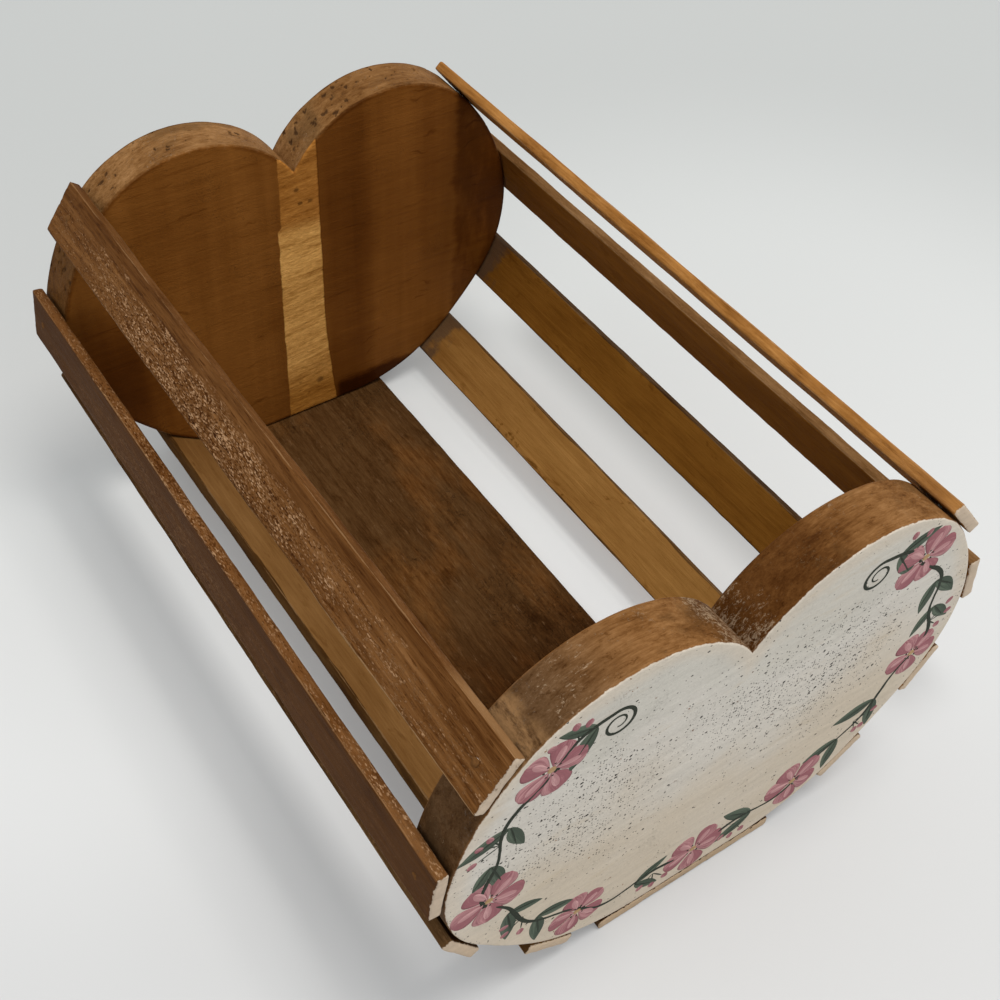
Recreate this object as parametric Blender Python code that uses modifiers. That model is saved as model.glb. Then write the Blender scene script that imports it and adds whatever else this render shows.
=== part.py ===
"""Wooden basket planter: two heart-shaped end boards, joined by a bottom board and eight slats nailed round their edges.

Units are metres. +Z is up and +Y runs from the painted front heart to the back heart.
The origin is on the ground, under the middle of the bottom board.
"""

import math

import bmesh
import bpy
from mathutils import Matrix, Vector

# Overall
OVERALL_LENGTH = 0.2902
JOINT_GAP = 0.0003

# Heart pattern: tangent arcs run from the notch, over the lobe and down the side to the flat bottom.
# Each sweep is the angle through which its arc turns, and the corner arc takes what is left.
HEART_THICKNESS = 0.01905
NOTCH_DEPTH = 0.0237
LOBE_RADIUS = 0.0506
LOBE_END_ANGLE = math.radians(37.3)
SHOULDER_RADIUS = 0.0973
SHOULDER_SWEEP = math.radians(23.5)
SIDE_RADIUS = 0.0627
SIDE_SWEEP = math.radians(50.6)
FLANK_RADIUS = 0.195
FLANK_SWEEP = math.radians(8.8)
CORNER_RADIUS = 0.0688
ARC_STEP = math.radians(4.0)
HEART_EASE = 0.0009

# Bottom board
BOARD_WIDTH = 0.0760
BOARD_THICKNESS = 0.0050
BOARD_EASE = 0.0006

# Slats: each lies flat against the heart's edge where the edge faces its seat angle, from the top slat down.
SLAT_WIDTH = 0.0213
SLAT_THICKNESS = 0.0045
SLAT_EASE = 0.0006
RIGHT_SEAT_ANGLES = (39.3, 11.5, -29.3, -49.2)
LEFT_SEAT_ANGLES = (36.1, 7.3, -31.0, -57.8)

# Nails: brads hold the slats and longer nails hold the bottom board.
BRAD_LENGTH = 0.0160
NAIL_LENGTH = 0.0200
SHANK_DIAMETER = 0.0013
HEAD_DIAMETER = 0.0024
HEAD_HEIGHT = 0.0008
POINT_HEIGHT = 0.0018
HEAD_SET_DEPTH = 0.0002
NAIL_SPACING = 0.0300
NAIL_SIDES = 10

# Colours of the finishes, as linear red, green and blue
STAINED_BROWN = (0.155, 0.075, 0.026)
DARK_BROWN = (0.090, 0.040, 0.014)
HONEY_BROWN = (0.210, 0.095, 0.028)
CREAM_PAINT = (0.540, 0.500, 0.435)
NAIL_GREY = (0.250, 0.240, 0.225)

HEART_BOTTOM = BOARD_THICKNESS + JOINT_GAP
HEART_OFFSET = (OVERALL_LENGTH - HEART_THICKNESS) / 2

# Modelling tolerances
WELD_DISTANCE = 1e-6
TURNING_WELD = 1e-5
FLAT_ANGLE = math.radians(0.5)
SHARP_ANGLE = math.radians(30)
EASED_ANGLE = math.radians(40)
FRONT_FACING = -0.99


def clear_scene():
    """Start from an empty file."""
    for found in list(bpy.data.objects):
        bpy.data.objects.remove(found, do_unlink=True)


def add_collection(name, hidden=False):
    """A collection in the scene, hidden in renders if it holds cutters."""
    collection = bpy.data.collections.new(name)
    collection.hide_render = hidden
    bpy.context.scene.collection.children.link(collection)
    return collection


def make_material(name, colour, roughness, metallic=0.0):
    """A plain finish."""
    material = bpy.data.materials.new(name)
    material.use_nodes = True
    shader = material.node_tree.nodes["Principled BSDF"]
    shader.inputs["Base Color"].default_value = (*colour, 1.0)
    shader.inputs["Roughness"].default_value = roughness
    shader.inputs["Metallic"].default_value = metallic
    material.diffuse_color = (*colour, 1.0)
    return material


def direction(angle):
    """The unit vector at this angle in the pattern's plane, across and up."""
    return Vector((math.cos(angle), math.sin(angle)))


def heart_arcs():
    """Each arc of the heart's right half as (centre, radius, first angle, last angle), from the notch down.

    An arc's angle is the way that its edge faces, from the notch's inward slope down to straight below.
    """
    across = math.sqrt(2 * LOBE_RADIUS * NOTCH_DEPTH - NOTCH_DEPTH**2)
    notch_angle = math.acos(-across / LOBE_RADIUS)
    shoulder_end = LOBE_END_ANGLE - SHOULDER_SWEEP
    side_end = shoulder_end - SIDE_SWEEP
    flank_end = side_end - FLANK_SWEEP
    stretches = (
        (LOBE_RADIUS, LOBE_END_ANGLE),
        (SHOULDER_RADIUS, shoulder_end),
        (SIDE_RADIUS, side_end),
        (FLANK_RADIUS, flank_end),
        (CORNER_RADIUS, math.radians(-90)),
    )
    arcs = []
    centre = Vector((across, 0.0))
    start = notch_angle
    previous_radius = LOBE_RADIUS
    for radius, end in stretches:
        centre = centre + (previous_radius - radius) * direction(start)
        arcs.append((centre, radius, start, end))
        start = end
        previous_radius = radius
    lift = HEART_BOTTOM - (centre.y - CORNER_RADIUS)
    return [(middle + Vector((0.0, lift)), radius, first, last) for middle, radius, first, last in arcs]


def heart_half():
    """The points of the heart's right half, from the notch to the end of the flat bottom."""
    points = []
    for centre, radius, first, last in heart_arcs():
        steps = max(2, math.ceil((first - last) / ARC_STEP))
        for step in range(0 if not points else 1, steps + 1):
            points.append(centre + radius * direction(first + (last - first) * step / steps))
    points[0].x = 0.0
    return points


def heart_seat(angle):
    """The point of the right half's edge that faces this angle."""
    for centre, radius, _, last in heart_arcs():
        if angle >= last:
            return centre + radius * direction(angle)
    raise ValueError("a seat angle is past the flat bottom")


def box_mesh(name, size):
    """A box mesh round the origin."""
    shape = bmesh.new()
    bmesh.ops.create_cube(shape, size=1.0, matrix=Matrix.Diagonal((*size, 1.0)))
    mesh = bpy.data.meshes.new(name)
    shape.to_mesh(mesh)
    shape.free()
    return mesh


def place(name, mesh, matrix, collection, materials):
    """An object of this mesh, where the matrix puts it."""
    for material in materials:
        mesh.materials.append(material)
    piece = bpy.data.objects.new(name, mesh)
    piece.matrix_world = matrix
    collection.objects.link(piece)
    return piece


def paint_front(mesh):
    """Give the face that looks out over the front the second material, which is the paint."""
    for face in mesh.polygons:
        if face.normal.y < FRONT_FACING:
            face.material_index = 1


def ease_edges(piece, width, segments):
    """Round a board's sharp edges over."""
    ease = piece.modifiers.new("eased_edges", "BEVEL")
    ease.width = width
    ease.segments = segments
    ease.limit_method = "ANGLE"
    ease.angle_limit = EASED_ANGLE


def drill(piece, cutters):
    """Cut the nail holes that cross this piece."""
    holes = piece.modifiers.new("nail_holes", "BOOLEAN")
    holes.operation = "DIFFERENCE"
    holes.operand_type = "COLLECTION"
    holes.collection = cutters
    holes.solver = "EXACT"


def heart_mesh(name):
    """The heart board's mesh, cut from the pattern and stood up on its flat bottom."""
    half = heart_half()
    outline = half + [Vector((-point.x, point.y)) for point in reversed(half[1:])]
    curve = bpy.data.curves.new(name + "_pattern", "CURVE")
    curve.dimensions = "2D"
    curve.fill_mode = "BOTH"
    curve.extrude = HEART_THICKNESS / 2
    spline = curve.splines.new("POLY")
    spline.points.add(len(outline) - 1)
    for control, point in zip(spline.points, outline):
        control.co = (point.x, point.y, 0.0, 1.0)
    spline.use_cyclic_u = True
    pattern = bpy.data.objects.new(name + "_pattern", curve)
    bpy.context.scene.collection.objects.link(pattern)
    bpy.context.view_layer.update()
    graph = bpy.context.evaluated_depsgraph_get()
    mesh = bpy.data.meshes.new_from_object(pattern.evaluated_get(graph))
    bpy.data.objects.remove(pattern)
    mesh.name = name
    shape = bmesh.new()
    shape.from_mesh(mesh)
    bmesh.ops.remove_doubles(shape, verts=shape.verts, dist=WELD_DISTANCE)
    bmesh.ops.dissolve_limit(shape, angle_limit=FLAT_ANGLE, verts=shape.verts, edges=shape.edges)
    bmesh.ops.transform(shape, matrix=Matrix.Rotation(math.radians(90), 4, "X"), verts=shape.verts)
    bmesh.ops.recalc_face_normals(shape, faces=shape.faces)
    shape.to_mesh(mesh)
    shape.free()
    mesh.shade_smooth()
    mesh.set_sharp_from_angle(angle=SHARP_ANGLE)
    return mesh


def nail_profile(length, clearance):
    """Points down one side of a nail whose head's top is at the origin, grown all round by the clearance."""
    head = HEAD_DIAMETER / 2 + clearance
    shank = SHANK_DIAMETER / 2 + clearance
    top = HEAD_SET_DEPTH + clearance if clearance > 0 else 0.0
    under_head = -HEAD_HEIGHT - clearance
    tip = -length - clearance
    return (
        (0.0, top),
        (head, top),
        (head, under_head),
        (shank, under_head),
        (shank, -length + POINT_HEIGHT),
        (0.0, tip),
    )


def turned_mesh(name, profile):
    """A mesh that holds a profile's points and edges, ready to be turned about Z."""
    mesh = bpy.data.meshes.new(name)
    points = [(radius, 0.0, height) for radius, height in profile]
    edges = [(index, index + 1) for index in range(len(points) - 1)]
    mesh.from_pydata(points, edges, [])
    return mesh


def turn(piece):
    """Turn the piece's profile about its own Z axis."""
    turned = piece.modifiers.new("turned", "SCREW")
    turned.axis = "Z"
    turned.angle = math.radians(360)
    turned.steps = NAIL_SIDES
    turned.render_steps = NAIL_SIDES
    turned.use_merge_vertices = True
    turned.merge_threshold = TURNING_WELD


def add_nail(name, length, matrix, parts, cutters, steel):
    """A nail, driven along the matrix's -Z from the surface at its origin, and the cutter of its hole."""
    seat = matrix @ Matrix.Translation((0.0, 0.0, -HEAD_SET_DEPTH))
    nail = place(name, turned_mesh(name, nail_profile(length, 0.0)), seat, parts, (steel,))
    turn(nail)
    hole = place(name + "_hole", turned_mesh(name + "_hole", nail_profile(length, JOINT_GAP)), seat, cutters, ())
    hole.hide_render = True
    hole.display_type = "WIRE"
    turn(hole)


def slat_matrix(angle, side):
    """The frame of a slat's seat: its X points out of the heart's edge and its Y runs along the slat."""
    point = heart_seat(angle)
    outward = direction(angle)
    normal = Vector((side * outward.x, 0.0, outward.y))
    along = Vector((0.0, 1.0, 0.0))
    across = normal.cross(along)
    matrix = Matrix((normal, along, across)).transposed().to_4x4()
    matrix.translation = Vector((side * point.x, 0.0, point.y)) + normal * JOINT_GAP
    return matrix


def add_hearts(parts, cutters, materials):
    """The two heart boards, of which only the front one's outer face is painted."""
    for name, side in (("front_heart", -1), ("back_heart", 1)):
        mesh = heart_mesh(name)
        spot = Matrix.Translation((0.0, side * HEART_OFFSET, 0.0))
        heart = place(name, mesh, spot, parts, (materials["dark_wood"], materials["paint"]))
        if side < 0:
            paint_front(mesh)
        ease_edges(heart, HEART_EASE, segments=2)
        drill(heart, cutters)


def add_board(parts, cutters, materials):
    """The bottom board, which runs under both hearts, and the four nails that hold it."""
    mesh = box_mesh("bottom_board", (BOARD_WIDTH, OVERALL_LENGTH, BOARD_THICKNESS))
    spot = Matrix.Translation((0.0, 0.0, BOARD_THICKNESS / 2))
    board = place("bottom_board", mesh, spot, parts, (materials["brown_wood"], materials["paint"]))
    paint_front(mesh)
    ease_edges(board, BOARD_EASE, segments=1)
    upside_down = Matrix.Rotation(math.radians(180), 4, "X")
    for end, end_side in (("front", -1), ("back", 1)):
        for hand, hand_side in (("left", -1), ("right", 1)):
            spot = Matrix.Translation((hand_side * NAIL_SPACING / 2, end_side * HEART_OFFSET, 0.0)) @ upside_down
            add_nail(f"board_nail_{end}_{hand}", NAIL_LENGTH, spot, parts, cutters, materials["steel"])
    drill(board, cutters)


def add_slats(hand, side, angles, parts, cutters, materials):
    """One side's slats, numbered from the top down, and a brad through each of their ends."""
    facing_out = Matrix.Rotation(math.radians(90), 4, "Y")
    for number, degrees in enumerate(angles, start=1):
        seat = slat_matrix(math.radians(degrees), side)
        name = f"{hand}_slat_{number}"
        mesh = box_mesh(name, (SLAT_THICKNESS, OVERALL_LENGTH, SLAT_WIDTH))
        spot = seat @ Matrix.Translation((SLAT_THICKNESS / 2, 0.0, 0.0))
        slat = place(name, mesh, spot, parts, (materials["honey_wood"], materials["paint"]))
        paint_front(mesh)
        ease_edges(slat, SLAT_EASE, segments=1)
        for end, end_side in (("front", -1), ("back", 1)):
            outer = seat @ Matrix.Translation((SLAT_THICKNESS, end_side * HEART_OFFSET, 0.0)) @ facing_out
            add_nail(f"{hand}_brad_{number}_{end}", BRAD_LENGTH, outer, parts, cutters, materials["steel"])
        drill(slat, cutters)


def main():
    clear_scene()
    parts = add_collection("wooden_basket_planter")
    cutters = add_collection("cutters", hidden=True)
    materials = {
        "dark_wood": make_material("dark_wood", DARK_BROWN, 0.55),
        "brown_wood": make_material("brown_wood", STAINED_BROWN, 0.60),
        "honey_wood": make_material("honey_wood", HONEY_BROWN, 0.50),
        "paint": make_material("cream_paint", CREAM_PAINT, 0.70),
        "steel": make_material("nail_steel", NAIL_GREY, 0.45, metallic=1.0),
    }
    add_hearts(parts, cutters, materials)
    add_board(parts, cutters, materials)
    add_slats("right", 1, RIGHT_SEAT_ANGLES, parts, cutters, materials)
    add_slats("left", -1, LEFT_SEAT_ANGLES, parts, cutters, materials)


main()
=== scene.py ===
"""Dresses the wooden basket planter: worn wood, nails, cream paint, a garland and a plain stage.

Units are metres. +Z is up and +Y runs from the painted front heart to the back heart.
"""

import math

import bpy
import numpy as np
from bpy.props import FloatProperty, FloatVectorProperty, IntProperty, PointerProperty
from mathutils import Matrix, Vector, noise


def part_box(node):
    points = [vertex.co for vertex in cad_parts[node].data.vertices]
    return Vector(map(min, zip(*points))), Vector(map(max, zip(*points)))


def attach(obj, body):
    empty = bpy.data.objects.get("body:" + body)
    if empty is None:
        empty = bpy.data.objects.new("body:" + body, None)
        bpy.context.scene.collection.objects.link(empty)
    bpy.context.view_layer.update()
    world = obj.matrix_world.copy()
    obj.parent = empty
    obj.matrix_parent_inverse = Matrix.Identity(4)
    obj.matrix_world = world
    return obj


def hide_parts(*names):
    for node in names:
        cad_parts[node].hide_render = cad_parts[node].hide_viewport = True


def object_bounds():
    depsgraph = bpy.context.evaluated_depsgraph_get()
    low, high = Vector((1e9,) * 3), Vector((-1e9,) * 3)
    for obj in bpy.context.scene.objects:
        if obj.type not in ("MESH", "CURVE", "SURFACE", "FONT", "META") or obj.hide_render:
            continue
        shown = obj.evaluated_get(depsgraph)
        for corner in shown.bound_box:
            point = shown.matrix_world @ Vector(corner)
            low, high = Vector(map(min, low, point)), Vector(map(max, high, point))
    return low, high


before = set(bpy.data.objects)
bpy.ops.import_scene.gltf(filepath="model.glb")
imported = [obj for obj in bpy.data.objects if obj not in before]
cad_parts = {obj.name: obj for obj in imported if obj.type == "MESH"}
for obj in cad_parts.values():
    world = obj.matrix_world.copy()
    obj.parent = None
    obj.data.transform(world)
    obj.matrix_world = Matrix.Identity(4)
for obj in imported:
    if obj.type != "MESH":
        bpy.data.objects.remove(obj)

bl_info = {
    "name": "Wooden Basket Planter",
    "version": (1, 0, 0),
    "blender": (4, 5, 0),
    "location": "View3D > Sidebar > Planter",
    "description": "Makes the worn wood, nails, paint and garland of a heart-ended basket planter",
    "category": "Object",
}

CAD_LOW, CAD_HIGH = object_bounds()
FRONT = CAD_LOW.y
BACK = CAD_HIGH.y
# Degrees above the horizontal that the slats' outer faces look to, from the top slat down
RIGHT_SEAT_ANGLES = (39.3, 11.5, -29.3, -49.2)
LEFT_SEAT_ANGLES = (36.1, 7.3, -31.0, -57.8)
HANDS = (("left", -1), ("right", 1))
ENDS = (("front", -1), ("back", 1))
# Depth of the painted face behind its solid's face, which leaves room for the raised paint
PAINT_ROOM = 0.00015
# Fixed seed for the torn pits' noise, which would otherwise take its start from the clock
PIT_SEED = 1


# Sizes and colours that a user may change

def distance(name, description, default):
    """A length in metres."""
    return FloatProperty(
        name=name, description=description, default=default, subtype="DISTANCE", unit="LENGTH"
    )


def turn_angle(name, description, degrees):
    """An angle, given in degrees."""
    default = math.radians(degrees)
    return FloatProperty(name=name, description=description, default=default, subtype="ANGLE")


def colour(name, description, default):
    """A linear colour."""
    return FloatVectorProperty(
        name=name, description=description, default=default, size=3, min=0.0, max=1.0, subtype="COLOR"
    )


class PLANTER_PG_hearts(bpy.types.PropertyGroup):
    notch_depth: distance("Notch depth", "Height of the lobes' tops over the notch", 0.0237)
    lobe_radius: distance("Lobe radius", "Radius of the lobe's arc", 0.0506)
    lobe_end: turn_angle("Lobe end", "The way that the edge faces where the lobe's arc ends", 37.3)
    shoulder_radius: distance("Shoulder radius", "Radius of the shoulder's arc", 0.0973)
    shoulder_sweep: turn_angle("Shoulder sweep", "Angle through which the shoulder turns", 23.5)
    side_radius: distance("Side radius", "Radius of the side's arc", 0.0627)
    side_sweep: turn_angle("Side sweep", "Angle through which the side turns", 50.6)
    flank_radius: distance("Flank radius", "Radius of the flank's arc", 0.195)
    flank_sweep: turn_angle("Flank sweep", "Angle through which the flank turns", 8.8)
    corner_radius: distance("Corner radius", "Radius of the arc that meets the flat bottom", 0.0688)
    edge_round: distance("Edge rounding", "Radius of the worn edges", 0.0009)
    spacing: distance("Spacing", "Distance between the mesh's points along the edge", 0.0007)
    pit_depth: distance("Pit depth", "Depth of the torn pits in the back heart's edge", 0.0006)


class PLANTER_PG_slats(bpy.types.PropertyGroup):
    width: distance("Width", "Width of a slat", 0.0213)
    thickness: distance("Thickness", "Thickness of a slat", 0.0045)
    edge_round: distance("Edge rounding", "Radius of the worn edges", 0.00075)
    wear: distance("Wear", "Height of the raised grain", 0.00022)
    spacing: distance("Spacing", "Distance between the mesh's points", 0.0010)


class PLANTER_PG_board(bpy.types.PropertyGroup):
    edge_round: distance("Edge rounding", "Radius of the worn edges", 0.0007)
    wear: distance("Wear", "Height of the raised grain", 0.00018)
    spacing: distance("Spacing", "Distance between the mesh's points", 0.0014)


class PLANTER_PG_nails(bpy.types.PropertyGroup):
    head_diameter: distance("Head diameter", "Diameter of a nail's head", 0.0024)
    shank_diameter: distance("Shank diameter", "Diameter of a nail's shank", 0.0013)
    brad_length: distance("Brad length", "Length of the brads in the slats", 0.0160)
    nail_length: distance("Nail length", "Length of the nails in the bottom board", 0.0200)
    set_depth: distance("Set depth", "Depth of the heads under the surface", 0.0002)
    nail_spacing: distance("Nail spacing", "Distance between the two nails at one end of the board", 0.0300)
    filling_diameter: distance("Filling diameter", "Diameter of the filler over a brad's head", 0.0027)
    sides: IntProperty(name="Sides", description="Sides of a turned nail", default=20, min=8, max=48)


class PLANTER_PG_garland(bpy.types.PropertyGroup):
    inset: distance("Inset", "Distance of the vine from the heart's edge", 0.0140)
    blossom: distance("Blossom size", "Length of a blossom's petal", 0.0122)
    leaf: distance("Leaf size", "Length of a leaf", 0.0185)
    height: distance("Paint height", "Height of a brush stroke over the face", 0.00010)
    seed: IntProperty(name="Seed", description="Seed of the brush's unevenness", default=7, min=0)


class PLANTER_PG_finish(bpy.types.PropertyGroup):
    cream: colour("Cream paint", "Paint of the front face", (0.640, 0.605, 0.540))
    heart_stain: colour("Heart stain", "Stain of the heart boards", (0.208, 0.075, 0.0132))
    heart_edge: colour("Heart edge", "Worn stain of the back heart's cut edge", (0.216, 0.103, 0.035))
    front_edge: colour("Front edge", "Stain of the front heart's cut edge", (0.196, 0.089, 0.029))
    bare_wood: colour("Bare wood", "Unstained wood of the back heart", (0.615, 0.315, 0.085))
    board_stain: colour("Board stain", "Stain of the bottom board", (0.079, 0.036, 0.0112))
    worn_edge: colour("Worn edge", "Wood that shows through along worn edges", (0.42, 0.25, 0.12))
    filler: colour("Filler", "Filler over the brads", (0.140, 0.062, 0.020))
    steel: colour("Steel", "Wire of the nails", (0.42, 0.40, 0.37))
    petal: colour("Petal", "Body of a blossom", (0.315, 0.124, 0.141))
    petal_light: colour("Petal light", "Light strokes of a blossom", (0.470, 0.240, 0.248))
    leaf: colour("Leaf", "Body of a leaf", (0.066, 0.086, 0.064))
    leaf_light: colour("Leaf light", "Light strokes of a leaf", (0.120, 0.150, 0.112))
    vine: colour("Vine", "Thin dark strokes", (0.036, 0.042, 0.032))


class PLANTER_PG_stage(bpy.types.PropertyGroup):
    focal_length: FloatProperty(name="Focal length", description="Camera lens in millimetres", default=49.71)
    camera_turn: turn_angle("Camera turn", "Turn of the camera round the upright axis", -35.77)
    camera_tilt: turn_angle("Camera tilt", "Height of the camera as an angle", 47.47)
    camera_roll: turn_angle("Camera roll", "Roll of the camera round its view", 3.21)
    camera_distance: distance("Camera distance", "Distance from the point that it looks at", 0.5733)
    floor_colour: colour("Floor", "Pale floor", (0.676, 0.678, 0.676))
    floor_size: distance("Floor size", "Side of the square floor", 6.0)
    sky: FloatProperty(name="Sky", description="Strength of the light from all round", default=0.76, min=0.0)
    lamp: FloatProperty(name="Lamp", description="Power of the soft lamp in watts", default=19.5, min=0.0)


class PLANTER_PG_all(bpy.types.PropertyGroup):
    hearts: PointerProperty(type=PLANTER_PG_hearts)
    slats: PointerProperty(type=PLANTER_PG_slats)
    board: PointerProperty(type=PLANTER_PG_board)
    nails: PointerProperty(type=PLANTER_PG_nails)
    garland: PointerProperty(type=PLANTER_PG_garland)
    finish: PointerProperty(type=PLANTER_PG_finish)
    stage: PointerProperty(type=PLANTER_PG_stage)


# Node trees

class Graph:
    """Adds nodes to one tree. A value that is another node's output is linked."""

    def __init__(self, tree):
        self.tree = tree

    def add(self, kind, values=None, output=0, **settings):
        """A new node's output, or the node itself where the output is None."""
        node = self.tree.nodes.new(kind)
        for name, value in settings.items():
            setattr(node, name, value)
        for key, value in (values or {}).items():
            if isinstance(value, Value):
                self.tree.links.new(value.socket, node.inputs[key])
            else:
                node.inputs[key].default_value = value
        return node if output is None else Value(self, node.outputs[output])

    def math(self, operation, *values):
        return self.add("ShaderNodeMath", dict(enumerate(values)), operation=operation)

    def vector(self, operation, *values):
        return self.add("ShaderNodeVectorMath", dict(enumerate(values)), operation=operation)

    def joined(self, x, y, z):
        return self.add("ShaderNodeCombineXYZ", {0: x, 1: y, 2: z})

    def attribute(self, name, output="Vector"):
        return self.add("ShaderNodeAttribute", output=output, attribute_name=name)

    def carried(self, name, kind="FLOAT"):
        """The value that a geometry's points carry under this name."""
        return self.add("GeometryNodeInputNamedAttribute", {"Name": name}, data_type=kind)

    def gathered(self, pieces):
        """Several geometries as one."""
        join = self.add("GeometryNodeJoinGeometry", output=None)
        for piece in pieces:
            self.tree.links.new(piece.socket, join.inputs[0])
        return Value(self, join.outputs[0])

    def mix(self, factor, first, second, blend="MIX"):
        values = {0: factor, 6: rgba(first), 7: rgba(second)}
        return self.add("ShaderNodeMix", values, output=2, data_type="RGBA", blend_type=blend)

    def shade(self, base, value):
        """The colour made lighter or darker."""
        return self.add("ShaderNodeHueSaturation", {2: value, 4: rgba(base)})

    def swung(self, *swings):
        """1 made larger and smaller by each pattern, by its swing in all."""
        value = 1.0
        for pattern, swing in swings:
            value = value + (pattern - 0.5) * swing
        return value

    def deepened(self, base, value):
        """Stained wood made lighter or darker. As it darkens, its blue goes first and its red last."""
        value = value.most(0.03)
        parts = {0: value, 1: value ** 1.25, 2: value ** 1.7}
        return self.mix(1.0, base, self.add("ShaderNodeCombineColor", parts), "MULTIPLY")

    def varied(self, base, *swings):
        """Wood made lighter and darker by each pattern, by its swing in all."""
        return self.deepened(base, self.swung(*swings))

    def near(self, first, first_place, second, second_place, reach):
        """1 close to a place and 0 further off than the reach."""
        away = self.joined(first - first_place, second - second_place, 0.0)
        gap = self.add("ShaderNodeVectorMath", {0: away}, output=1, operation="LENGTH")
        return gap.step(reach, reach * 0.35)


class Value:
    """A node's output. Arithmetic on it, and each of its methods, adds nodes to its tree."""

    def __init__(self, graph, socket):
        self.graph = graph
        self.socket = socket

    def math(self, operation, *values):
        return self.graph.math(operation, self, *values)

    def __add__(self, other):
        return self.math("ADD", other)

    def __radd__(self, other):
        return self.graph.math("ADD", other, self)

    def __sub__(self, other):
        return self.math("SUBTRACT", other)

    def __rsub__(self, other):
        return self.graph.math("SUBTRACT", other, self)

    def __mul__(self, other):
        return self.math("MULTIPLY", other)

    def __truediv__(self, other):
        return self.math("DIVIDE", other)

    def __pow__(self, other):
        return self.math("POWER", other)

    def __abs__(self):
        return self.math("ABSOLUTE")

    def most(self, other):
        """The larger of the two."""
        return self.math("MAXIMUM", other)

    def least(self, other):
        """The smaller of the two."""
        return self.math("MINIMUM", other)

    def step(self, low, high):
        """A smooth rise from 0 at low to 1 at high."""
        values = {0: self, 1: low, 2: high, 3: 0.0, 4: 1.0}
        return self.graph.add("ShaderNodeMapRange", values, interpolation_type="SMOOTHSTEP")

    def span(self, low, high):
        """A value from 0 to 1 spread over low to high."""
        return self.graph.add("ShaderNodeMapRange", {0: self, 1: 0.0, 2: 1.0, 3: low, 4: high})

    def between(self, first, second):
        """The first where this is 0, the second where it is 1."""
        return self.graph.add("ShaderNodeMix", {0: self, 2: first, 3: second}, data_type="FLOAT")

    def split(self):
        """The vector's three parts."""
        parts = self.graph.add("ShaderNodeSeparateXYZ", {0: self}, output=None).outputs
        return [Value(self.graph, part) for part in parts]

    def scaled(self, scale):
        """The vector times a number."""
        return self.graph.add("ShaderNodeVectorMath", {0: self, 3: scale}, operation="SCALE")

    def stretched(self, *factors):
        """The place with each part multiplied: a pattern runs along the part with the small number."""
        return self.graph.vector("MULTIPLY", self, factors)

    def noise(self, scale, detail=3.0, roughness=0.5, distortion=0.0):
        """Noise at this place, whose usual swing is spread over 0 to 1."""
        values = {"Vector": self, "Scale": scale, "Detail": detail, "Roughness": roughness}
        soft = self.graph.add("ShaderNodeTexNoise", {**values, "Distortion": distortion})
        return self.graph.add("ShaderNodeMapRange", {0: soft, 1: 0.28, 2: 0.72})

    def cells(self, scale):
        """A number from 0 to 1 drawn for each small cell."""
        values = {"Vector": self, "Scale": scale, "Randomness": 1.0}
        return self.graph.add("ShaderNodeTexVoronoi", values, output=1).split()[0]

    def marks(self, scale, chance, sizes, soft=0.10, dimensions="3D", ragged=0.45):
        """Scattered ragged marks, in as many cells as the chance says and between these sizes."""
        graph = self.graph
        values = {"Vector": self, "Scale": scale * 2.3, "Detail": 2.0}
        swirl = graph.add("ShaderNodeTexNoise", values, output=1)
        swirl = graph.vector("SUBTRACT", swirl, (0.5, 0.5, 0.5)).scaled(ragged / scale)
        values = {"Vector": graph.vector("ADD", self, swirl), "Scale": scale, "Randomness": 1.0}
        cells = graph.add("ShaderNodeTexVoronoi", values, output=None, voronoi_dimensions=dimensions)
        draw, size, _ = Value(graph, cells.outputs["Color"]).split()
        chosen = (chance - draw).step(-0.001, 0.001)
        return chosen * (size.span(*sizes) - Value(graph, cells.outputs["Distance"])).step(0.0, soft)

    def dimmed(self, mask, amount):
        """Wood made darker by the amount where the mask is 1."""
        return self.graph.deepened(self, 1.0 - mask * amount)

    def blotted(self, mask, amount, other):
        """This colour with the other laid over it by the amount where the mask is 1."""
        return self.graph.mix(mask * amount, self, other)

    def tinged(self, mask, factors):
        """This colour with its red, green and blue multiplied where the mask is 1."""
        return self.graph.mix(mask, self, self.graph.mix(1.0, self, factors, "MULTIPLY"))


def rgba(value):
    """A colour with its alpha, or the node output as it is."""
    return value if isinstance(value, Value) else (*value, 1.0)


def tinted(base, factors):
    """The colour times a factor for each of red, green and blue."""
    return tuple(min(1.0, part * factor) for part, factor in zip(base, factors))


def new_material(name):
    """An empty node material and its graph."""
    material = bpy.data.materials.new(name)
    material.use_nodes = True
    material.node_tree.nodes.clear()
    return material, Graph(material.node_tree)


def close_material(graph, base, roughness, relief, depth, **constants):
    """The principled shader with its bump and output."""
    values = {"Base Color": base, "Roughness": roughness, "Specular IOR Level": 0.02}
    values["Normal"] = graph.add("ShaderNodeBump", {"Strength": 1.0, "Distance": depth, "Height": relief})
    for name, value in constants.items():
        values[name.replace("_", " ")] = value
    shader = graph.add("ShaderNodeBsdfPrincipled", values)
    graph.add("ShaderNodeOutputMaterial", {"Surface": shader}, output=None)


def object_place(graph):
    """The point's place in the planter's own frame."""
    return graph.add("ShaderNodeTexCoord", output=3)


# Finishes

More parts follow.
